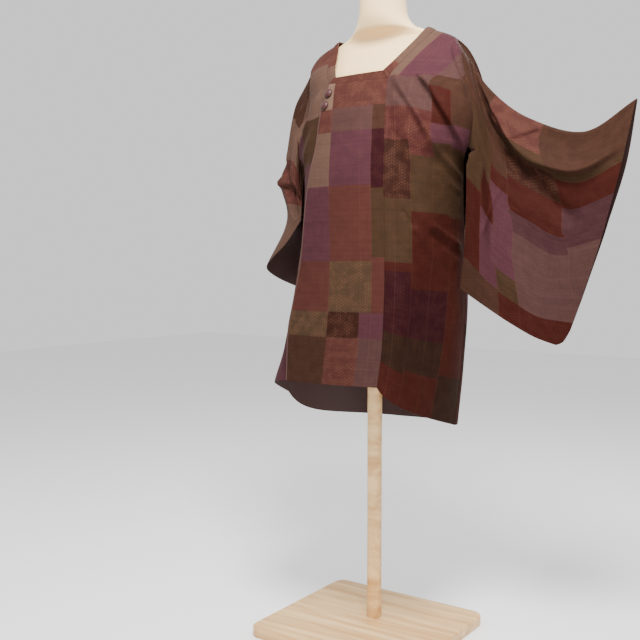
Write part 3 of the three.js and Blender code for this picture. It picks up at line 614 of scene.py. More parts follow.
def sleeve_layers(u, v):
    t = np.abs(v)
    half = net(SLEEVE_LEFT_AT, SLEEVE_LEFT[..., 3:], *rounded(u, t))[..., 0]
    forward = normal_of(sleeve_middle, u, np.clip(t, *SLEEVE_INSIDE), (0, 1))
    forward = forward * np.where(forward[..., 1:2] > 0, -1, 1)
    near = np.clip(t / FOLD_PART, 0, 1)
    round_top = np.sqrt(1 - (1 - near) ** 2)
    clear = ease(t / TOP_CLEAR)
    back = crease_height(CREASES_SLEEVE_BACK, u, t, SLEEVE_SIZE) * clear
    back += fold_height(FOLDS_SLEEVE_BACK, u, t, SLEEVE_SIZE)
    front = crease_height(CREASES_SLEEVE_FRONT, u, t, SLEEVE_SIZE) * clear
    front += fold_height(FOLDS_SLEEVE_FRONT, u, t, SLEEVE_SIZE)
    lift = np.where(v < 0, back, front) * ease(u / SLEEVE_FADE)
    return sleeve_middle(u, t) + forward * (np.sign(v) * (half * round_top + lift))[..., None]


def armhole_edge(surface, at):
    edge = surface(1 + 0 * at, at)
    outwards = unit(edge - surface(NEAR_EDGE + 0 * at, at))
    return edge + outwards * ARMHOLE_SEAM, outwards


def sleeve_left(u, v):
    u, v = both(u, v)
    sewn = np.clip(v, -SEWN, SEWN)
    places, back = np.unique(sewn, return_inverse=True)
    shift = armhole_edge(left, -SLEEVE_DEPTH * places)[0] - sleeve_layers(0 * places, places)
    shift = shift[back.reshape(sewn.shape)]
    below = np.abs(v) - SEWN
    reach = (1 - np.clip(u / PULL_REACH, 0, 1)) ** 2
    spring = SLEEVE_SPRING * ease(below / SPRING_RISE) * (1 - ease((below - SPRING_HOLD) / SPRING_FALL))
    p = sleeve_layers(u, v) + shift * ((1 - ease(below / PULL_DEPTH)) * reach)[..., None]
    p[..., 0] += spring * reach
    edge = np.where(v > SEWN, (1 - np.clip(u / FRONT_EDGE_REACH, 0, 1)) ** 2, 0)
    p[..., 0] += smooth(FRONT_EDGE, "x", np.maximum(below, 0)) * edge
    p[..., 1] += smooth(FRONT_EDGE, "y", np.maximum(below, 0)) * edge
    return p


def sleeve_left_inward(u, v):
    u, v = both(u, v)
    own = normal_of(sleeve_left, u, v, SLEEVE_RANGE)
    seam = left_inward(1 + 0 * u, -SLEEVE_DEPTH * np.clip(v, -SEWN, SEWN))
    return unit(mix(own, seam, np.where(np.abs(v) > SEWN, 0, 1 - ease(u / SLEEVE_BLEND))))


# Right sleeve: u runs round the armhole from its back foot over the shoulder to its front foot
RIGHT_SIZE = (400, 430)


def right_layer(u, t):
    return net(SLEEVE_RIGHT_AT, SLEEVE_RIGHT, u, t)


def sleeve_right(u, t):
    u, t = both(u, t)
    target, outwards = armhole_edge(right, ARMHOLE * (1 - 2 * u))
    p = right_layer(u, t) + (target - right_layer(u, 0 * t)) * ((1 - t) ** 3)[..., None]
    p = p + outwards * (SLEEVE_SPRING * ease(t / RIGHT_SPRING_RISE) * (1 - t) ** 2)[..., None]
    lift = fold_height(FOLDS_SLEEVE_RIGHT, u, t, RIGHT_SIZE)
    lift = lift + crease_height(CREASES_SLEEVE_RIGHT, u, t, RIGHT_SIZE)
    return p - normal_of(right_layer, u, t, (0, 1)) * (ease(t / RIGHT_FADE) * lift)[..., None]


def sleeve_right_inward(u, t):
    u, t = both(u, t)
    own = normal_of(sleeve_right, u, t, (0, 1))
    return unit(mix(own, right_inward(1 + 0 * u, ARMHOLE * (1 - 2 * u)), 1 - ease(t / RIGHT_FADE)))

# Points of a surface on a grid, with its named edges drawn in by their own distances
def trimmed_grid(surface, us, vs, ends, v_range):
    u, v = np.meshgrid(us, vs)
    points = surface(u, v)
    reach = CHORD * (v_range[1] - v_range[0])
    moved = points.copy()
    column, row = 0 * vs, 0 * us
    if "start" in ends:
        moved[:, 0] += unit(surface(column + CHORD, vs) - points[:, 0]) * ends["start"]
    if "end" in ends:
        moved[:, -1] += unit(surface(column + 1 - CHORD, vs) - points[:, -1]) * ends["end"]
    if "first" in ends:
        moved[0] += unit(surface(us, row + vs[0] + reach) - points[0]) * ends["first"]
    if "last" in ends:
        moved[-1] += unit(surface(us, row + vs[-1] - reach) - points[-1]) * ends["last"]
    return u, v, moved


def new_object(name, points, faces, soft=True, materials=(), face_slots=None, uv=None):
    mesh = bpy.data.meshes.new(name)
    mesh.from_pydata([tuple(p) for p in points], [], faces)
    mesh.polygons.foreach_set("use_smooth", [soft] * len(mesh.polygons))
    for material in materials:
        mesh.materials.append(material)
    if face_slots is not None:
        mesh.polygons.foreach_set("material_index", face_slots)
    if uv is not None:
        layer = mesh.uv_layers.new(name="cloth")
        corner = np.zeros(len(mesh.loops), int)
        mesh.loops.foreach_get("vertex_index", corner)
        layer.data.foreach_set("uv", np.asarray(uv, float)[corner].ravel())
    mesh.update()
    obj = bpy.data.objects.new(name, mesh)
    bpy.context.scene.collection.objects.link(obj)
    return obj


# A thin closed shell of cloth over its solid: outer face, inner face and a rim between them.
# Its chart is measured across the cloth, and along it from v; along is the length that v = 1 stands for.
def cloth_shell(node, us, vs, surface, inward, thickness, ends, v_range, silk, along=1, piping=None):
    u, v, top = trimmed_grid(surface, us, vs, ends, v_range)
    into = inward(u, v)
    under = top + into * thickness
    nv, nu = u.shape
    step = np.linalg.norm(np.diff(top, axis=1), axis=2)
    across = np.concatenate([np.zeros((nv, 1)), np.cumsum(step, 1)], 1)
    uv = np.stack([across, along * v], -1).reshape(-1, 2) * MM
    ids = np.arange(nu * nv).reshape(nv, nu)
    low = ids + nu * nv
    quads = np.stack([ids[:-1, :-1], ids[:-1, 1:], ids[1:, 1:], ids[1:, :-1]], -1).reshape(-1, 4)
    quads_in = np.stack([low[:-1, :-1], low[1:, :-1], low[1:, 1:], low[:-1, 1:]], -1).reshape(-1, 4)
    borders = (
        (ids[0], low[0]),
        (ids[-1][::-1], low[-1][::-1]),
        (ids[::-1, 0], low[::-1, 0]),
        (ids[:, -1], low[:, -1]),
    )
    rim = np.concatenate([np.stack([a[:-1], b[:-1], b[1:], a[1:]], -1) for a, b in borders])
    faces = np.concatenate([quads, quads_in, rim])
    n = unit(np.cross(top[1:, :-1] - top[:-1, :-1], top[:-1, 1:] - top[:-1, :-1]))
    if np.mean(np.sum(n * into[:-1, :-1], -1)) < 0:
        faces = faces[:, ::-1]
    slots = np.concatenate([np.zeros(len(quads)), np.ones(len(quads_in)), np.zeros(len(rim))]).astype(int)
    cloths = (silk, LINING)
    if piping:
        cloths = (silk, LINING, piping)
        slots[:len(quads)].reshape(nv - 1, nu - 1)[:, 0] = 2
    points = np.concatenate([top.reshape(-1, 3), under.reshape(-1, 3)]) * MM
    obj = new_object("cloth_" + node, points, faces.tolist(), True, cloths, slots, np.concatenate([uv, uv]))
    obj.data.set_sharp_from_angle(angle=CLOTH_CREASE)
    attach(obj, "root")
    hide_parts(node)
    return obj


def linear(r, g, b):
    return tuple(((c / 255 + 0.055) / 1.055) ** 2.4 if c > 10 else c / 3295 for c in (r, g, b)) + (1.0,)


# Colours of the woven patches, and how much figured silk each has. The red and the dim purple carry painted
# shade.
PATCH_COLOURS = {
    "tan": (linear(68, 50, 42), 0.25),
    "tan_figured": (linear(84, 65, 54), 1.0),
    "rose": (linear(57, 31, 27), 0.9),
    "brick": (linear(43, 16, 12), 0.2),
    "brick_light": (linear(57, 30, 26), 0.2),
    "brick_figured": (linear(52, 25, 23), 0.9),
    # The red is the cloth's real dark red stripe, darkened further with painted shade
    "red": (linear(28, 4, 3), 0.2),
    "rust": (linear(37, 19, 14), 0.9),
    "brown": (linear(44, 27, 20), 0.3),
    "purple": (linear(55, 30, 35), 0.25),
    # The dim purple is the purple darkened with painted shade, for the band shaded by the left sleeve's
    # overhanging lip
    "purple_dim": (linear(46, 26, 28), 0.25),
    "purple_dark": (linear(34, 11, 14), 0.3),
    "mauve": (linear(55, 36, 34), 0.3),
    "olive": (linear(44, 30, 20), 0.25),
    "olive_figured": (linear(52, 38, 27), 1.0),
    "olive_dark": (linear(31, 18, 12), 0.25),
}

# Patches of each piece: where they start and stop along the cloth, then columns, each with where it ends
# across the cloth. A column names its colours and where each starts. All in millimetres.
PATCHES = {
    "body_left": (FRONT_HEM, BACK_HEM, {
        22: "-756 brick, -704 olive_dark, -642 purple_dark, -530 brick, -507 olive, -384 rust, "
            "-262 brick_figured, -195 mauve, -125 tan, 64 brick, 172 purple, 300 olive, 404 brick_figured, "
            "520 tan, 604 purple_dark, 700 brick",
        56: "-756 brick, -704 olive_dark, -642 purple_dark, -530 brick, -507 olive, -384 rust, "
            "-262 brick_figured, -195 mauve, -124 purple, -8 tan, 64 brick, 172 purple, 300 olive, "
            "404 brick_figured, 520 tan, 604 purple_dark, 700 brick",
        104: "-756 brick, -697 olive_dark, -645 purple_dark, -560 brick, -407 olive, -290 brick_figured, "
             "-200 mauve, -128 purple, -8 brown, 90 olive, 210 brick, 330 purple, 450 tan_figured, "
             "560 brick, 668 olive_dark",
        152: "-756 brick, -697 olive_dark, -645 purple_dark, -560 brick, -407 olive, -262 purple, "
             "-225 brick, -150 brown, -120 mauve, -60 purple, -8 rust, 100 purple, 230 tan, 350 brick, "
             "470 olive, 590 purple, 700 brick",
        900: "-756 olive_dark, -692 brick, -412 olive, -268 purple, -222 brown, -50 purple, -8 brick, "
             "120 olive, 262 brick, 395 tan, 500 purple, 610 olive_dark, 705 brick",
    }),
    "tate_eri_left": (FRONT_HEM, NECK_CORNER, {
        27: "-756 mauve, -662 purple, -611 brick_light, -500 olive, -362 purple_dark, -240 brown, -188 rose",
        52: "-756 mauve, -662 purple, -611 olive_figured, -507 brick_light, -354 purple, -240 mauve, "
            "-188 rose",
        128: "-756 rose, -662 rust, -611 olive_figured, -507 brick_light, -354 purple, -240 mauve, "
             "-188 rose",
        900: "-756 brown, -662 olive_figured, -611 brick_light, -507 purple, -354 tan, -240 rose, "
             "-188 tan_figured",
    }),
    "body_right": (FRONT_HEM, BACK_HEM, {
        70: "-756 purple, -640 brick, -520 tan, -400 purple, -290 olive, -190 tan, -60 rose, 30 tan, "
            "120 purple, 262 brick_figured, 380 olive, 490 brick, 610 purple_dark, 700 tan",
        140: "-756 brick, -600 olive, -480 brick, -330 purple, -215 tan, -20 olive, 70 brick, 190 tan, "
             "300 purple, 420 rust, 530 olive_dark, 650 brick",
        900: "-756 purple_dark, -620 tan, -450 brick, -310 olive, -200 brown, -30 tan, 100 purple, "
             "240 olive, 360 brick, 480 purple, 600 tan, 705 brick",
    }),
    "tate_eri_right": (FRONT_HEM, NECK_CORNER, {
        900: "-756 purple, -640 brick, -520 olive, -400 purple, -280 brick, -180 tan",
    }),
    # On the left sleeve's front the dim purple below the overhanging lip is painted shade
    "sleeve_left": (-SLEEVE_DEPTH, SLEEVE_DEPTH, {
        45: "-500 olive, -410 brick, -300 purple, -190 tan, -90 brown, 150 olive, 312 brick, 445 brown",
        95: "-500 brick, -400 purple, -270 brick, -150 olive, -40 brown, 100 olive, 240 brick, 330 purple, "
            "442 brown",
        145: "-500 brick, -400 purple, -270 brick, -150 olive, -40 brown, 190 brick, 225 purple, 400 olive, "
             "446 brick",
        268: "-500 brick, -446 tan, -300 purple, -190 brick, -90 olive, -12 rose, 84 olive, 118 rust, "
             "176 brick, 262 purple_dim, 316 mauve, 448 brick",
        900: "-500 brick, -446 tan, -300 purple, -190 red, -120 tan, -20 brown, 108 olive, 126 brick, "
             "186 purple_dim, 300 mauve, 448 brick",
    }),
    "sleeve_right": (0, RIGHT_SLEEVE_DEPTH, {
        150: "0 tan, 90 olive, 180 brick, 300 purple",
        300: "0 brown, 110 tan, 210 rose, 330 tan",
        900: "0 tan, 120 brown, 235 rose, 300 brick_figured, 380 tan",
    }),
    "neckband": (NECK_CORNER, BAND_END, {
        900: "-130 rose, -90 tan, 0 tan_figured, 70 brown, 160 tan, 260 rose, 330 tan",
    }),
    "neckband_front": (0, 1, {
        900: "0 rose",
    }),
}


# Short calls for the node trees
class Tree:
    def __init__(self, name):
        self.material = bpy.data.materials.new(name)
        self.material.use_nodes = True
        self.nodes = self.material.node_tree.nodes
        self.nodes.clear()
        self.shader = self.node("ShaderNodeBsdfPrincipled")
        output = self.node("ShaderNodeOutputMaterial")
        self.link(self.shader.outputs[0], output.inputs[0])

    def node(self, kind, **settings):
        made = self.nodes.new(kind)
        for key, value in settings.items():
            setattr(made, key, value)
        return made

    def link(self, source, target):
        self.material.node_tree.links.new(source, target)

    def put(self, value, socket):
        if isinstance(value, bpy.types.NodeSocket):
            self.link(value, socket)
        else:
            socket.default_value = value

    # A node with its inputs filled in; it gives back the outputs
    def made(self, kind, inputs, **settings):
        made = self.node(kind, **settings)
        for socket, value in inputs.items():
            self.put(value, made.inputs[socket])
        return made.outputs

    def math(self, operation, *values):
        return self.made("ShaderNodeMath", dict(enumerate(values)), operation=operation)[0]

    def chain(self, operation, result, *others):
        for value in others:
            result = self.math(operation, result, value)
        return result

    def add(self, *values):
        return self.chain("ADD", *values)

    def minus(self, *values):
        return self.chain("SUBTRACT", *values)

    def times(self, *values):
        return self.chain("MULTIPLY", *values)

    def split(self, vector):
        return self.made("ShaderNodeSeparateXYZ", {0: vector})

    def combine(self, x, y, z=0.0):
        return self.made("ShaderNodeCombineXYZ", {0: x, 1: y, 2: z})[0]

    def noise(self, vector, scale, detail=2.0, roughness=0.5):
        inputs = {"Vector": vector, "Scale": scale, "Detail": detail, "Roughness": roughness}
        return self.made("ShaderNodeTexNoise", inputs)[0]

    # Noise about zero
    def waver(self, vector, scale, detail, size):
        return self.times(self.minus(self.noise(vector, scale, detail), 0.5), size)

    # Noise drawn out into threads, with its own scale across and along
    def streaks(self, x, y, across, along, detail, roughness):
        return self.noise(self.combine(self.times(x, across), self.times(y, along)), 1.0, detail, roughness)

    def shaded(self, colour, amount):
        return self.mix(1.0, colour, self.combine(amount, amount, amount), "MULTIPLY")

    def mix(self, amount, a, b, blend="MIX"):
        return self.made("ShaderNodeMix", {0: amount, 6: a, 7: b}, data_type="RGBA", blend_type=blend)[2]

    def smoothstep(self, value, low, high):
        inputs = {0: value, 1: low, 2: high}
        return self.made("ShaderNodeMapRange", inputs, interpolation_type="SMOOTHSTEP")[0]

    def bump(self, height, distance, **normal):
        return self.made("ShaderNodeBump", {"Height": height, "Distance": distance, **normal})[0]

    def set(self, **values):
        for name, value in values.items():
            self.put(value, self.shader.inputs[name.replace("_", " ")])


# Silk: scales are for each metre, lengths in metres unless named, the rest are shares
EDGE_SWAY = (22, 2, 0.002)
EDGE_GRAIN = (1300, 1, 0.0042)
COLUMN_BLUR_MM = 0.8
COLUMN_THREADS_MM = (1.4, 0.4)
COLUMN_LIGHT = 0.07
WEFT = (14.0, 420.0, 3, 0.6)
WARP = (480.0, 10.0, 3, 0.6)
BARS = (1.5, 170.0, 2, 0.5)
CLOUDS = (9, 3)
SHADE_BASE = 0.34
SHADE_THREADS = 0.36
SHADE_CLOUDS = 0.26
SHADE_BARS = 0.34
FIGURE_PITCH = 0.0056
FIGURE_LINES = (0.34, 0.12)
FIGURE_HEARTS = (0.55, 0.3)
FIGURE_FIELDS = (45, 2)
FIELD_EDGES = (0.38, 0.62)
FIGURE_THREAD = linear(128, 86, 66)
FIGURE_LIGHT = 0.34
SILK_ROUGH = 0.56
ROUGH_WEFT = 0.12
ROUGH_FIGURE = 0.12
SILK_GLOSS = 0.02
SILK_SHEEN = 0.03
SHEEN_ROUGH = 0.4
SHEEN_TINT = linear(225, 175, 160)
WARP_PITCH = 0.0009
WEFT_PITCH = 0.0008
RELIEF = 0.00022
RELIEF_THREADS = 0.6
RELIEF_WEAVE = 0.15
RELIEF_FIGURE = 0.5
SOFT_RELIEF = (30, 3, 0.0022)


# Fine lines in three directions, as on a silk figured with hemp leaves
def lattice(tree, x, y):
    lines = []
    for degrees in (0, 60, 120):
        turn = math.radians(degrees)
        run_x = tree.times(x, math.cos(turn) * math.pi / FIGURE_PITCH)
        run_y = tree.times(y, math.sin(turn) * math.pi / FIGURE_PITCH)
        lines.append(tree.math("ABSOLUTE", tree.math("SINE", tree.add(run_x, run_y))))
    line = tree.smoothstep(tree.chain("MINIMUM", *lines), *FIGURE_LINES)
    heart = tree.smoothstep(tree.chain("MAXIMUM", *lines), *FIGURE_HEARTS)
    return tree.math("MAXIMUM", line, heart)


# The colours of one column along the cloth, and how much of each is figured
def patch_ramp(tree, place, text, low, high):
    rows = [entry.split() for entry in text.split(", ")]
    ramp = tree.node("ShaderNodeValToRGB")
    ramp.color_ramp.interpolation = "CONSTANT"
    stops = ramp.color_ramp.elements
    while len(stops) < len(rows):
        stops.new(1.0)
    while len(stops) > len(rows):
        stops.remove(stops[-1])
    for stop, (at, patch) in zip(stops, rows):
        shade, figured = PATCH_COLOURS[patch]
        stop.position = (float(at) - low) / (high - low)
        stop.color = (*shade[:3], figured)
    tree.link(place, ramp.inputs[0])
    return ramp.outputs[0], ramp.outputs[1]


def silk(name, chart):
    tree = Tree("silk_" + name)
    uv = tree.node("ShaderNodeUVMap", uv_map="cloth").outputs[0]
    x, y, _ = tree.split(uv)
    # Patch edges wander a little, as woven ones do
    wander = tree.add(tree.waver(uv, *EDGE_SWAY), tree.waver(uv, *EDGE_GRAIN))
    x_at = tree.add(x, wander)
    low, high, columns = chart
    place = tree.math("DIVIDE", tree.minus(tree.add(y, wander), low * MM), (high - low) * MM)
    colour, figure, between, edge = None, None, 0.0, 0
    for x_end, text in columns.items():
        next_colour, next_figure = patch_ramp(tree, place, text, low, high)
        if colour is None:
            colour, figure = next_colour, next_figure
        else:
            past = tree.smoothstep(x_at, (edge - COLUMN_BLUR_MM) * MM, (edge + COLUMN_BLUR_MM) * MM)
            colour = tree.mix(past, colour, next_colour)
            figure = tree.add(tree.times(figure, tree.minus(1.0, past)), tree.times(next_figure, past))
            away = tree.math("ABSOLUTE", tree.minus(x_at, edge * MM))
            between = tree.add(between, tree.smoothstep(away, *(mm * MM for mm in COLUMN_THREADS_MM)))
        edge = x_end
    # Threads along the weft and the warp, heavier bars, broad clouds, and the figures
    weft = tree.streaks(x, y, *WEFT)
    threads = tree.add(weft, tree.streaks(x, y, *WARP))
    bars = tree.streaks(x, y, *BARS)
    clouds = tree.noise(uv, *CLOUDS)
    fields = tree.smoothstep(tree.noise(uv, *FIGURE_FIELDS), *FIELD_EDGES)
    drawn = tree.times(lattice(tree, x, y), fields, figure)
    light = tree.mix(0.5, colour, FIGURE_THREAD)
    colour = tree.mix(tree.times(drawn, FIGURE_LIGHT), colour, light)
    colour = tree.mix(tree.times(between, COLUMN_LIGHT), colour, light)
    shade = tree.add(tree.times(threads, SHADE_THREADS), tree.times(clouds, SHADE_CLOUDS))
    shade = tree.add(shade, tree.times(bars, SHADE_BARS), SHADE_BASE)
    tree.set(Base_Color=tree.shaded(colour, shade))
    rough = tree.minus(tree.add(SILK_ROUGH, tree.times(weft, ROUGH_WEFT)), tree.times(drawn, ROUGH_FIGURE))
    tree.set(Roughness=rough)
    tree.set(Specular_IOR_Level=SILK_GLOSS, Sheen_Weight=SILK_SHEEN, Sheen_Roughness=SHEEN_ROUGH)
    tree.set(Sheen_Tint=SHEEN_TINT)
    weave_x = tree.math("SINE", tree.times(x, 2 * math.pi / WARP_PITCH))
    weave_y = tree.math("SINE", tree.times(y, 2 * math.pi / WEFT_PITCH))
    relief = tree.add(tree.times(threads, RELIEF_THREADS), tree.times(weave_x, weave_y, RELIEF_WEAVE))
    relief = tree.add(relief, tree.times(drawn, RELIEF_FIGURE))
    scale, detail, depth = SOFT_RELIEF
    soft = tree.bump(tree.noise(uv, scale, detail), depth)
    tree.set(Normal=tree.bump(relief, RELIEF, Normal=soft))
    return tree.material


PLAIN_GLOSS = 0.25
TONE_BASE = 0.8
TONE_FINE = 0.22
TONE_CLOUDS = 0.18
PLAIN_CLOUDS = (7, 2)


def plain_cloth(name, shade, scale, rough, sheen, bump_mm):
    tree = Tree(name)
    place = tree.node("ShaderNodeTexCoord").outputs["Object"]
    fine = tree.noise(place, scale, 3)
    clouds = tree.noise(place, *PLAIN_CLOUDS)
    tone = tree.add(TONE_BASE, tree.add(tree.times(fine, TONE_FINE), tree.times(clouds, TONE_CLOUDS)))
    tree.set(Base_Color=tree.shaded(shade, tone))
    tree.set(Roughness=rough, Sheen_Weight=sheen, Specular_IOR_Level=PLAIN_GLOSS)
    tree.set(Normal=tree.bump(fine, bump_mm * MM))
    return tree.material


# Wood: light and dark year rings drawn out along X, with fine darker pores
WOOD_LIGHT = linear(222, 184, 128)
WOOD_DARK = linear(188, 140, 82)
WOOD_PORES = linear(140, 96, 52)
RING_STRETCH = (2.0, 26.0, 26.0)
RING_NOISE = (1.6, 4, 0.6)
RING_EDGES = (0.32, 0.7)
PORE_STRETCH = (14.0, 420.0)
PORE_EDGES = (0.55, 0.75)
PORE_SHARE = 0.35
PORE_DEPTH = 0.0003
WOOD_ROUGH = 0.42


def wood(name):
    tree = Tree(name)
    x, y, z = tree.split(tree.node("ShaderNodeTexCoord").outputs["Object"])
    stretched = tree.combine(*(tree.times(way, by) for way, by in zip((x, y, z), RING_STRETCH)))
    rings = tree.smoothstep(tree.noise(stretched, *RING_NOISE), *RING_EDGES)
    pores = tree.combine(tree.times(x, PORE_STRETCH[0]), tree.times(y, PORE_STRETCH[1]), z)
    pores = tree.noise(pores, 1.0)
    colour = tree.mix(rings, WOOD_LIGHT, WOOD_DARK)
    colour = tree.mix(tree.times(tree.smoothstep(pores, *PORE_EDGES), PORE_SHARE), colour, WOOD_PORES)
    tree.set(Base_Color=colour)
    tree.set(Roughness=WOOD_ROUGH)
    tree.set(Normal=tree.bump(pores, PORE_DEPTH))
    return tree.material


# Plain cloths: colour, threads in a metre, roughness, sheen and relief in millimetres
LINING = plain_cloth("lining", linear(46, 24, 21), 260, 0.6, 0.03, 0.2)
BUTTON_CLOTH = plain_cloth("button_cloth", linear(52, 22, 20), 700, 0.45, 0.04, 0.15)
PIPING = plain_cloth("piping", linear(60, 34, 28), 700, 0.5, 0.03, 0.1)
FORM_CLOTH = plain_cloth("form_jersey", linear(216, 184, 136), 900, 0.75, 0.1, 0.15)
PALE_WOOD = wood("pale_wood")
SILKS = {name: silk(name, chart) for name, chart in PATCHES.items()}


# Places from one end to another through stops, with a count of lines for each stretch
def stretches(places, counts):
    spans = [np.linspace(a, b, n) for a, b, n in zip(places, places[1:], counts)]
    return np.concatenate([spans[0]] + [span[1:] for span in spans[1:]])


CLOTH_CREASE = math.radians(60)
BODY_VS = stretches((FRONT_HEM, -540, -100, ARMHOLE, BACK_HEM), (36, 176, 80, 80))
BODY_US = np.linspace(0, 1, 101)
OVERLAP_VS = np.linspace(FRONT_HEM, NECK_CORNER, 170)
OVERLAP_US = np.linspace(0, 1, 61)
SIDES = {
    "left": (left, left_inward, overlap_left, overlap_left_inward, PIPING),
    "right": (right, right_inward, overlap_right, overlap_right_inward, None),
}
SEWN_SIDES = {"start": HALF_SEAM, "end": HALF_SEAM}
SEWN_ENDS = {"first": HALF_SEAM, "last": HALF_SEAM}

coat = {}
for side, (surface, inward, _, _, _) in SIDES.items():
    node = "body_" + side
    coat[node] = cloth_shell(
        node, BODY_US, BODY_VS, surface, inward, CLOTH, SEWN_SIDES, BODY_RANGE, SILKS[node])
for side, (_, _, overlap, inward, piping) in SIDES.items():
    node = "tate_eri_" + side
    coat[node] = cloth_shell(
        node, OVERLAP_US, OVERLAP_VS, overlap, inward, CLOTH, {"end": HALF_SEAM, "last": HALF_SEAM},
        FRONT_RANGE, SILKS[node], 1, piping)
    # The chart of an overlapping panel runs from the seam towards the free edge
    layer = coat[node].data.uv_layers["cloth"]
    uv = np.zeros(len(layer.data) * 2)
    layer.data.foreach_get("uv", uv)
    uv = uv.reshape(-1, 2)
    rows = np.round(uv[:, 1], 5)
    for row in np.unique(rows):
        here = rows == row
        uv[here, 0] = uv[here, 0].max() - uv[here, 0]
    layer.data.foreach_set("uv", uv.ravel())

SPLIT_LEFT = 32
SPLIT_RIGHT = 2 * NAPE - SPLIT_LEFT
BAND_PARTS = {
    "neckband_left": (NECK_CORNER, SPLIT_LEFT, SEWN_ENDS),
    "neckband_back": (SPLIT_LEFT, SPLIT_RIGHT, SEWN_ENDS),
    "neckband_right": (SPLIT_RIGHT, BAND_END, {"first": HALF_SEAM}),
}
BAND_US = np.linspace(0, 1, 9)
for node, (start, stop, ends) in BAND_PARTS.items():
    coat[node] = cloth_shell(
        node, BAND_US, np.linspace(start, stop, 80), band, band_inward, BAND_CLOTH,
        {"end": BAND_SEAM, **ends}, (start, stop), SILKS["neckband"])
coat["neckband_front"] = cloth_shell(
    "neckband_front", OVERLAP_US, BAND_US, front_band, front_band_inward, BAND_CLOTH,
    {"end": HALF_SEAM, "first": HALF_SEAM}, (0, 1), SILKS["neckband_front"], BAND_DEPTH)

SLEEVE_VS = stretches((-1, -FOLD_PART, FOLD_PART, 1), (110, 15, 140))
SLEEVE_US = np.linspace(0, 1, 111)
RIGHT_LINES = np.linspace(0, 1, 101)
coat["sleeve_left"] = cloth_shell(
    "sleeve_left", SLEEVE_US, SLEEVE_VS, sleeve_left, sleeve_left_inward, CLOTH, {}, SLEEVE_RANGE,
    SILKS["sleeve_left"], SLEEVE_DEPTH)
coat["sleeve_right"] = cloth_shell(
    "sleeve_right", RIGHT_LINES, RIGHT_LINES, sleeve_right, sleeve_right_inward, CLOTH, {}, (0, 1),
    SILKS["sleeve_right"], RIGHT_SLEEVE_DEPTH)


# A closed solid through level rings of points
def ring_solid(name, rings, material, node):
    count = len(rings[0])
    points = np.concatenate(rings + [rings[0].mean(0, keepdims=True), rings[-1].mean(0, keepdims=True)])
    last = (len(rings) - 1) * count
    pairs = [(k, (k + 1) % count) for k in range(count)]
    faces = []
    for low in range(0, last, count):
        faces += [(low + k, low + n, low + count + n, low + count + k) for k, n in pairs]
    for k, n in pairs:
        faces.append((len(points) - 2, n, k))
        faces.append((len(points) - 1, last + k, last + n))
    obj = new_object(name, points * MM, faces, True, (material,))
    obj.data.set_sharp_from_angle(angle=HARD_EDGE)
    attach(obj, "root")
    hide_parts(node)


HARD_EDGE = math.radians(50)
FORM_SIDES = 96
FORM_INSET = 0.9
FORM_ZS = stretches((801, 1200, 1345, 1439), (60, 60, 24))


def form_ring(z):
    sizes = [hermite(FORM_RINGS["z"], FORM_RINGS[name], z) for name in FORM_COLUMNS[1:]]
    half_x, half_y, y_mid, power = sizes
    turn = np.linspace(0, 2 * math.pi, FORM_SIDES, endpoint=False)
    c, s = np.cos(turn), np.sin(turn)
    x = (half_x - FORM_INSET) * np.sign(c) * np.abs(c) ** (2 / power)
    y = y_mid + (half_y - FORM_INSET) * np.sign(s) * np.abs(s) ** (2 / power)
    return np.stack([x, y, 0 * x + z], -1)


ring_solid("jersey_form", [form_ring(z) for z in FORM_ZS], FORM_CLOTH, "form_torso")

# The pole: height and radius up its length
POLE_Y = -46
POLE_SIDES = 64
POLE_PROFILE = [(22.5, 14), (22.5, 15.5), (24, 16), (792, 16), (799, 15.8), (799.6, 15)]


def pole_ring(z, radius):
    turn = np.linspace(0, 2 * math.pi, POLE_SIDES, endpoint=False)
    return np.stack([radius * np.cos(turn), POLE_Y + radius * np.sin(turn), 0 * turn + z], -1)


ring_solid("turned_pole", [pole_ring(z, r) for z, r in POLE_PROFILE], PALE_WOOD, "stand_pole")

# The board with its upper edge eased: height and inset up its side
BOARD_HALF = 195
BOARD_FRONT = -250
BOARD_BACK = 110
BOARD_CORNER = 26
BOARD_PROFILE = [(0, 1), (1, 0), (19, 0), (20.6, 0.5), (21.6, 1.6), (22, 3.2)]


def board_ring(z, inset):
    corner = BOARD_CORNER - inset
    x = BOARD_HALF - inset - corner
    front, back = BOARD_FRONT + inset + corner, BOARD_BACK - inset - corner
    points = []
    for middle_x, middle_y, start in ((x, front, -90), (x, back, 0), (-x, back, 90), (-x, front, 180)):
        for turn in np.radians(start + np.linspace(0, 90, 17)):
            points.append((middle_x + corner * math.cos(turn), middle_y + corner * math.sin(turn), z))
    return np.array(points)


ring_solid("eased_board", [board_ring(z, i) for z, i in BOARD_PROFILE], PALE_WOOD, "base_board")

# Buttons covered in cloth that is gathered at the rim: height and radius from the back to the front
BUTTON_ACROSS = 0.06
BUTTON_UPPER = -151
BUTTON_LOWER = -176
BUTTON_STAND = 1.4
BUTTON_SIDES = 48
GATHERS = 12
GATHER_DEPTH = 0.16
GATHER_HEIGHT = 3
BUTTON_PROFILE = [
    (-1.0, 6.5), (-0.9, 7.6), (0.2, 9.6), (1.6, 9.9), (3.2, 9.0),
    (4.8, 7.2), (6.0, 4.8), (6.7, 2.4), (6.9, 0.3),
]


def button(name, at):
    spot = np.array(BUTTON_ACROSS), np.array(float(at))
    out = -overlap_left_inward(*spot)
    place = overlap_left(*spot) + out * BUTTON_STAND
    side = unit(np.cross(out, [0, 0, 1]))
    up = np.cross(side, out)
    turn = np.linspace(0, 2 * math.pi, BUTTON_SIDES, endpoint=False)
    way = np.cos(turn)[:, None] * side + np.sin(turn)[:, None] * up
    rings = []
    for height, radius in BUTTON_PROFILE:
        gather = GATHER_DEPTH * np.cos(GATHERS * turn) * max(0, 1 - abs(height) / GATHER_HEIGHT)
        rings.append(place + out * height + (radius + gather)[:, None] * way)
    ring_solid("covered_" + name, rings, BUTTON_CLOTH, name)


button("button_upper", BUTTON_UPPER)
button("button_lower", BUTTON_LOWER)

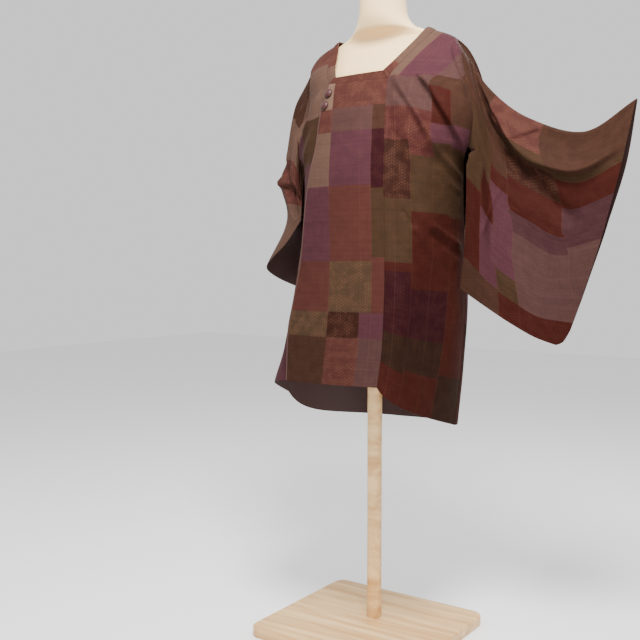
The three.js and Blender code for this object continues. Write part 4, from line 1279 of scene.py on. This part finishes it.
# Floor, light and camera
FLOOR = 6
FLOOR_COLOUR = linear(243, 243, 243)
FLOOR_ROUGH = 0.8
FLOOR_CORNERS = [(-FLOOR, -FLOOR, 0), (FLOOR, -FLOOR, 0), (FLOOR, FLOOR, 0), (-FLOOR, FLOOR, 0)]
floor = new_object("floor", FLOOR_CORNERS, [(0, 1, 2, 3)], False)
floor_tree = Tree("floor")
floor_tree.set(Base_Color=FLOOR_COLOUR, Roughness=FLOOR_ROUGH)
floor.data.materials.append(floor_tree.material)

WORLD_LIGHT = 1.0
world = bpy.data.worlds.new("studio")
bpy.context.scene.world = world
world.use_nodes = True
world.node_tree.nodes["Background"].inputs[0].default_value = (1, 1, 1, 1)
world.node_tree.nodes["Background"].inputs[1].default_value = WORLD_LIGHT

# Round soft lights: place, what they face, width in metres and power in watts
LIGHTS = {
    "key": ((0.55, -0.85, 2.1), (0.15, -0.1, 1.0), 0.6, 80),
    "fill": ((-1.5, -1.6, 2.3), (0, 0, 1.0), 1.2, 20),
    "back": ((-0.2, 1.5, 2.4), (0, 0, 1.0), 1.2, 26),
    "low": ((1.1, -1.5, 0.5), (0.05, -0.1, 0.6), 1.0, 14),
}
for name, (place, target, size, power) in LIGHTS.items():
    light = bpy.data.lights.new(name, "AREA")
    light.shape = "DISK"
    light.size = size
    light.energy = power
    light_object = bpy.data.objects.new(name, light)
    light_object.location = place
    light_object.rotation_euler = (Vector(target) - Vector(place)).to_track_quat("-Z", "Y").to_euler()
    bpy.context.scene.collection.objects.link(light_object)

CAMERA_PLACE = (1.0267, -1.7226, 0.81)
CAMERA_TURN = 35
CAMERA_TILT = 3.69
SENSOR = 36
LENS = 50.625
camera = bpy.data.cameras.new("camera")
camera.sensor_width = SENSOR
camera.lens = LENS
camera_object = bpy.data.objects.new("camera", camera)
camera_object.location = CAMERA_PLACE
camera_object.rotation_euler = (math.radians(90 - CAMERA_TILT), 0, math.radians(CAMERA_TURN))
bpy.context.scene.collection.objects.link(camera_object)
bpy.context.scene.camera = camera_object
